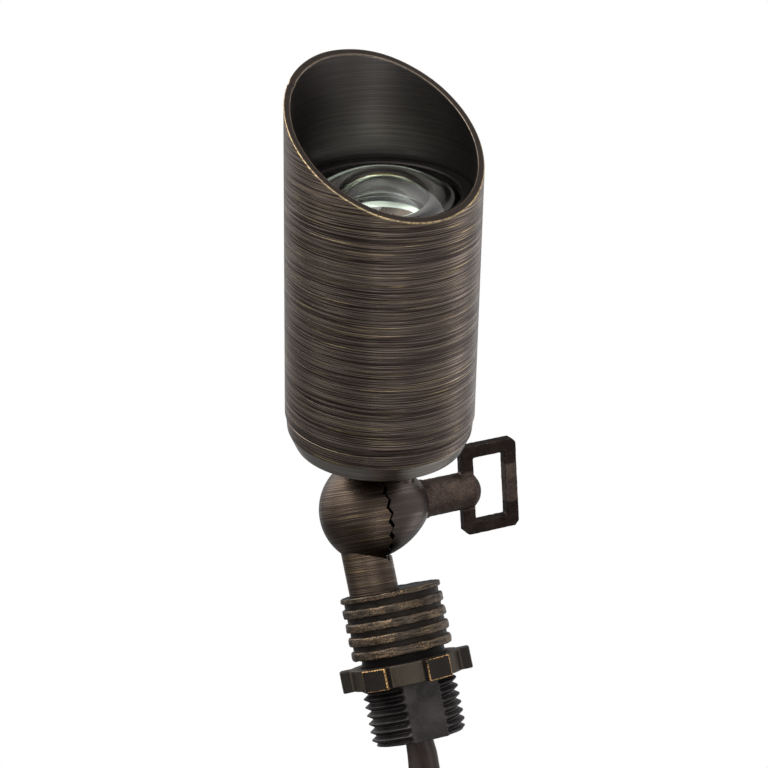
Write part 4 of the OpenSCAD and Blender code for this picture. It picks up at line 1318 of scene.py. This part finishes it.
@dataclass
class StemBase:
    """Ribbed collar and threaded shank in one rough casting."""

    thread_r: float = 10.45
    root_r: float = 9.35
    pitch: float = 1.814
    thread_lift: float = 0.5
    thread_rows: int = 118
    shank_z: float = -12.7
    flat_r: float = 9.75
    flat_turn: float = -7.0
    flat_edges: Pair = (20.0, 29.0)
    seat_r: float = 9.6
    seat_z: float = 4.0
    relief_r: float = 9.2
    collar_z: float = 6.4
    collar_top: float = 20.1
    ribs: int = 4
    rib_root: float = 10.45
    rib_rise: float = 0.7
    rib_pitch: float = 3.08
    rib_w: float = 1.95
    root_round: float = 0.1
    crest_rounds: Pair = (0.42, 0.5)
    lip_w: float = 1.1
    lip_rounds: Point = (0.12, 0.26, 0.3)
    lip_lean: float = 0.05
    lip_inner: float = 10.0
    bore_r: float = 7.4
    bore_top: float = 10.1
    mouth_r: float = 9.0
    tube_x: float = -3.7
    socket: Tuple[Pair, ...] = ((5.6, 20.1), (5.54, 20.0), (5.54, 15.1), (2.8, 15.1))
    end_h: float = 1.1
    end_rise: float = 0.25
    cast_rough: float = 0.14
    thread_rough: float = 0.03
    grid: float = 0.3
    sides: int = 320

    def profile(self) -> List[Point]:
        """Works out the outside from the shank's end to the top lip.

        Returns:
            Radius, height and wear of each point.
        """
        rows = self.thread_rows
        shank = [(self.thread_r, self.shank_z - self.shank_z * k / rows, 0.0) for k in range(rows + 1)]
        corners = [
            (self.thread_r, 0.0, 0.0), (self.seat_r, 0.02, 0.0), (self.seat_r, self.seat_z, 0.0),
            (self.relief_r, self.seat_z, 0.0), (self.relief_r, self.collar_z, 0.0),
        ]
        crest = self.rib_root + self.rib_rise
        under, over = self.crest_rounds
        for k in range(self.ribs):
            foot = self.rib_root if k else self.relief_r
            low = self.collar_z + k * self.rib_pitch
            high = low + self.rib_w
            corners += [(foot, low, self.root_round), (crest, low, under)]
            corners += [(crest, high, over), (self.rib_root, high, self.root_round)]
        top = self.collar_top
        lip = zip(
            (self.rib_root, crest, crest - self.lip_lean), (top - self.lip_w, top - self.lip_w, top),
            self.lip_rounds,
        )
        corners += [*lip, (self.lip_inner, top, 0.0)]
        return shank + spread(rounded(corners, 4), self.grid)[1:]

    def threaded(self, rings: np.ndarray) -> np.ndarray:
        """Cuts the helical thread and the two flats into the shank's rings.

        Args:
            rings: Points of all rings.

        Returns:
            The points after the cuts.
        """
        angle = np.arctan2(rings[..., 1], rings[..., 0])
        z = rings[..., 2]
        radius = np.hypot(rings[..., 0], rings[..., 1])
        depth = self.thread_r - self.root_r
        phase = ((z - self.thread_lift) / self.pitch - angle / (2 * math.pi)) % 1.0
        vee = np.clip(np.abs(phase * 2 - 1) * 1.25 - 0.14, 0.0, 1.0)
        cut = self.thread_r - depth * (1 - vee)
        end = smooth_step(self.shank_z, self.shank_z + self.end_h, z)
        cut = np.minimum(cut, self.root_r + self.end_rise + depth * end)
        facing = angle + math.pi / 2 - math.radians(self.flat_turn)
        flat = self.flat_r / np.maximum(np.abs(np.cos(facing)), 0.2)
        off = np.degrees(np.arcsin(np.abs(np.sin(facing))))
        plain = 1.0 - smooth_step(*self.flat_edges, off)
        cut = np.minimum(cut + (self.thread_r - cut) * plain, flat)
        made = rings.copy()
        made[..., :2] *= (np.where(z < -0.01, cut, radius) / radius)[..., None]
        return made

    def rough_cast(self, rings: np.ndarray) -> np.ndarray:
        """Gives the collar's ribs the uneven edges of a rough casting.

        Args:
            rings: Points of all rings.

        Returns:
            The moved points.
        """
        made = rings.copy()
        for i, ring in enumerate(rings):
            height = ring[0, 2]
            if -0.5 < height < self.collar_z - 0.3:
                continue
            strength = self.cast_rough if height > 0 else self.thread_rough
            for j, row in enumerate(ring):
                p = Vector(row)
                slow = noise.fractal(Vector((p.x * 0.35, p.y * 0.35, p.z * 1.1)), 0.8, 2.0, 3)
                fast = noise.fractal(p * 1.7, 0.8, 2.0, 2)
                lift = strength * (slow * 0.8 + fast * 0.45) / math.hypot(p.x, p.y)
                wave = noise.noise(Vector((p.x * 0.5, p.y * 0.5, p.z * 0.8 + 9.0)))
                made[i, j] += (p.x * lift, p.y * lift, strength * 0.9 * wave)
        return made

    def build(self) -> None:
        """Makes the casting and dresses it."""
        middle = Matrix.Identity(4)
        outside = self.rough_cast(self.threaded(turned(self.profile(), self.sides, middle)))
        offset = Matrix.Translation((self.tube_x, 0.0, 0.0))
        wires = (self.socket[-1][0], self.bore_top)
        socket = turned([*self.socket, wires], self.sides, offset)
        shank = [(self.bore_r, self.bore_top), (self.bore_r, self.shank_z), (self.mouth_r, self.shank_z)]
        loops = np.concatenate([outside, socket, turned(shank, self.sides, middle)])
        base = tube_of_loops("ribbed_stem_base", loops, True)
        give(base, Finish.COLLAR)
        place_piece(base, "stem", "cast_bronze", "stem_base")


@dataclass(frozen=True)
class Casting:
    """Softened copy of a CAD node that is a body of its own, as it comes out of a mould."""

    name: str
    node: str
    slot: str
    finish: Finish
    voxel: float
    passes: int
    rough: float
    wear: float

    def soften(self, mesh: bpy.types.Mesh) -> bpy.types.Object:
        """Rounds every edge of a mesh.

        Args:
            mesh: The mesh in millimetres.

        Returns:
            The new piece.
        """
        work = bmesh.new()
        work.from_mesh(mesh)
        bmesh.ops.remove_doubles(work, verts=work.verts, dist=1e-4)
        work.to_mesh(mesh)
        work.free()
        piece = new_object(self.name, mesh)
        remesh = piece.modifiers.new("remesh", "REMESH")
        remesh.mode = "VOXEL"
        remesh.voxel_size = self.voxel
        soften = piece.modifiers.new("soften", "SMOOTH")
        soften.factor = 0.5
        soften.iterations = self.passes
        graph = bpy.context.evaluated_depsgraph_get()
        made = bpy.data.meshes.new_from_object(piece.evaluated_get(graph))
        piece.modifiers.clear()
        piece.data = made
        return piece

    def roughen(self, mesh: bpy.types.Mesh) -> None:
        """Stores the wear of the edges, then moves points by a cast surface's noise.

        Args:
            mesh: The mesh in millimetres.
        """
        place = rows_of(mesh.vertices, "co", 3)
        normal = rows_of(mesh.vertices, "normal", 3)
        a, b = rows_of(mesh.edges, "vertices", 2, int).T
        step = place[b] - place[a]
        length = np.linalg.norm(step, axis=1) + 1e-9
        total = np.zeros(len(place))
        number = np.zeros(len(place))
        for i, sign in ((a, -1.0), (b, 1.0)):
            np.add.at(total, i, sign * np.einsum("ij,ij->i", normal[i], step) / length)
            np.add.at(number, i, 1.0)
        number = np.maximum(number, 1.0)
        bend = total / number
        for _ in range(2):
            near = np.zeros(len(place))
            np.add.at(near, a, bend[b])
            np.add.at(near, b, bend[a])
            bend = 0.5 * bend + 0.5 * near / number
        set_edge(mesh, bend * self.wear)
        lift = np.array([noise.fractal(Vector(p) * 1.1, 0.8, 2.0, 3) for p in place])
        place = place + normal * (lift * self.rough)[:, None]
        mesh.vertices.foreach_set("co", place.reshape(-1))
        mesh.update()

    def build(self) -> None:
        """Makes the casting and dresses it."""
        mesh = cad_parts[self.node].data.copy()
        mesh.transform(Matrix.Scale(1.0 / MM, 4))
        piece = self.soften(mesh)
        self.roughen(piece.data)
        piece.data.transform(Matrix.Scale(MM, 4))
        piece.data.shade_smooth()
        give(piece, self.finish)
        place_piece(piece, self.node, self.slot, self.node)


THUMBSCREW = Casting(
    "cast_thumbscrew", "thumbscrew", "cast_bronze", Finish.THUMBSCREW,
    voxel=0.17, passes=3, rough=0.05, wear=6.0,
)
LOCKNUT = Casting(
    "castellated_nut", "locknut", "black_nut", Finish.NUT, voxel=0.16, passes=2, rough=0.02, wear=10.0
)


@dataclass
class CadPieces:
    """CAD nodes whose shape is right and that only take a finish."""

    finishes: Tuple[Tuple[Finish, str], ...] = (
        (Finish.KNUCKLE, "lower_knuckle_arm"),
        (Finish.UPPER_ARM, "upper_knuckle_arm"),
        (Finish.RUBBER, "cord_bush arm_gasket lower_seal upper_seal lens_gasket"),
        (Finish.JACKET, "cord_inner lead_insulation"),
        (Finish.WIRE, "stem_wires head_wires"),
        (Finish.TIE, "hank_tie"),
        (Finish.COPPER, "lead_strands"),
        (Finish.THUMBSCREW, "screw_washer"),
        (Finish.BRASS, "thumbscrew_stud arm_nut board_spacers"),
        (Finish.BOARD, "driver_board"),
        (Finish.COMPONENT, "driver_parts"),
        (Finish.STEEL, "driver_screws board_screws"),
        (Finish.ALUMINIUM, "lamp_plate"),
        (Finish.WHITE_BOARD, "led_board"),
        (Finish.PHOSPHOR, "led_chip"),
        (Finish.MIRROR, "reflector"),
        (Finish.RING, "lens_ring"),
    )

    def build(self) -> None:
        """Dresses each node."""
        for finish, names in self.finishes:
            for name in names.split():
                give(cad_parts[name], finish)
                LOG.info("%s takes %s", name, finish.name)


def main() -> None:
    """Builds the studio and every piece in order."""
    logging.basicConfig(level=logging.INFO, format="%(name)s: %(message)s")
    bpy.context.scene.view_settings.view_transform = "Standard"
    Camera().build()
    Lead().build()
    Studio().build()
    Shroud().build()
    HeadBase().build()
    LampLens().build()
    StemBase().build()
    THUMBSCREW.build()
    LOCKNUT.build()
    CadPieces().build()


if __name__ == "__main__":
    main()
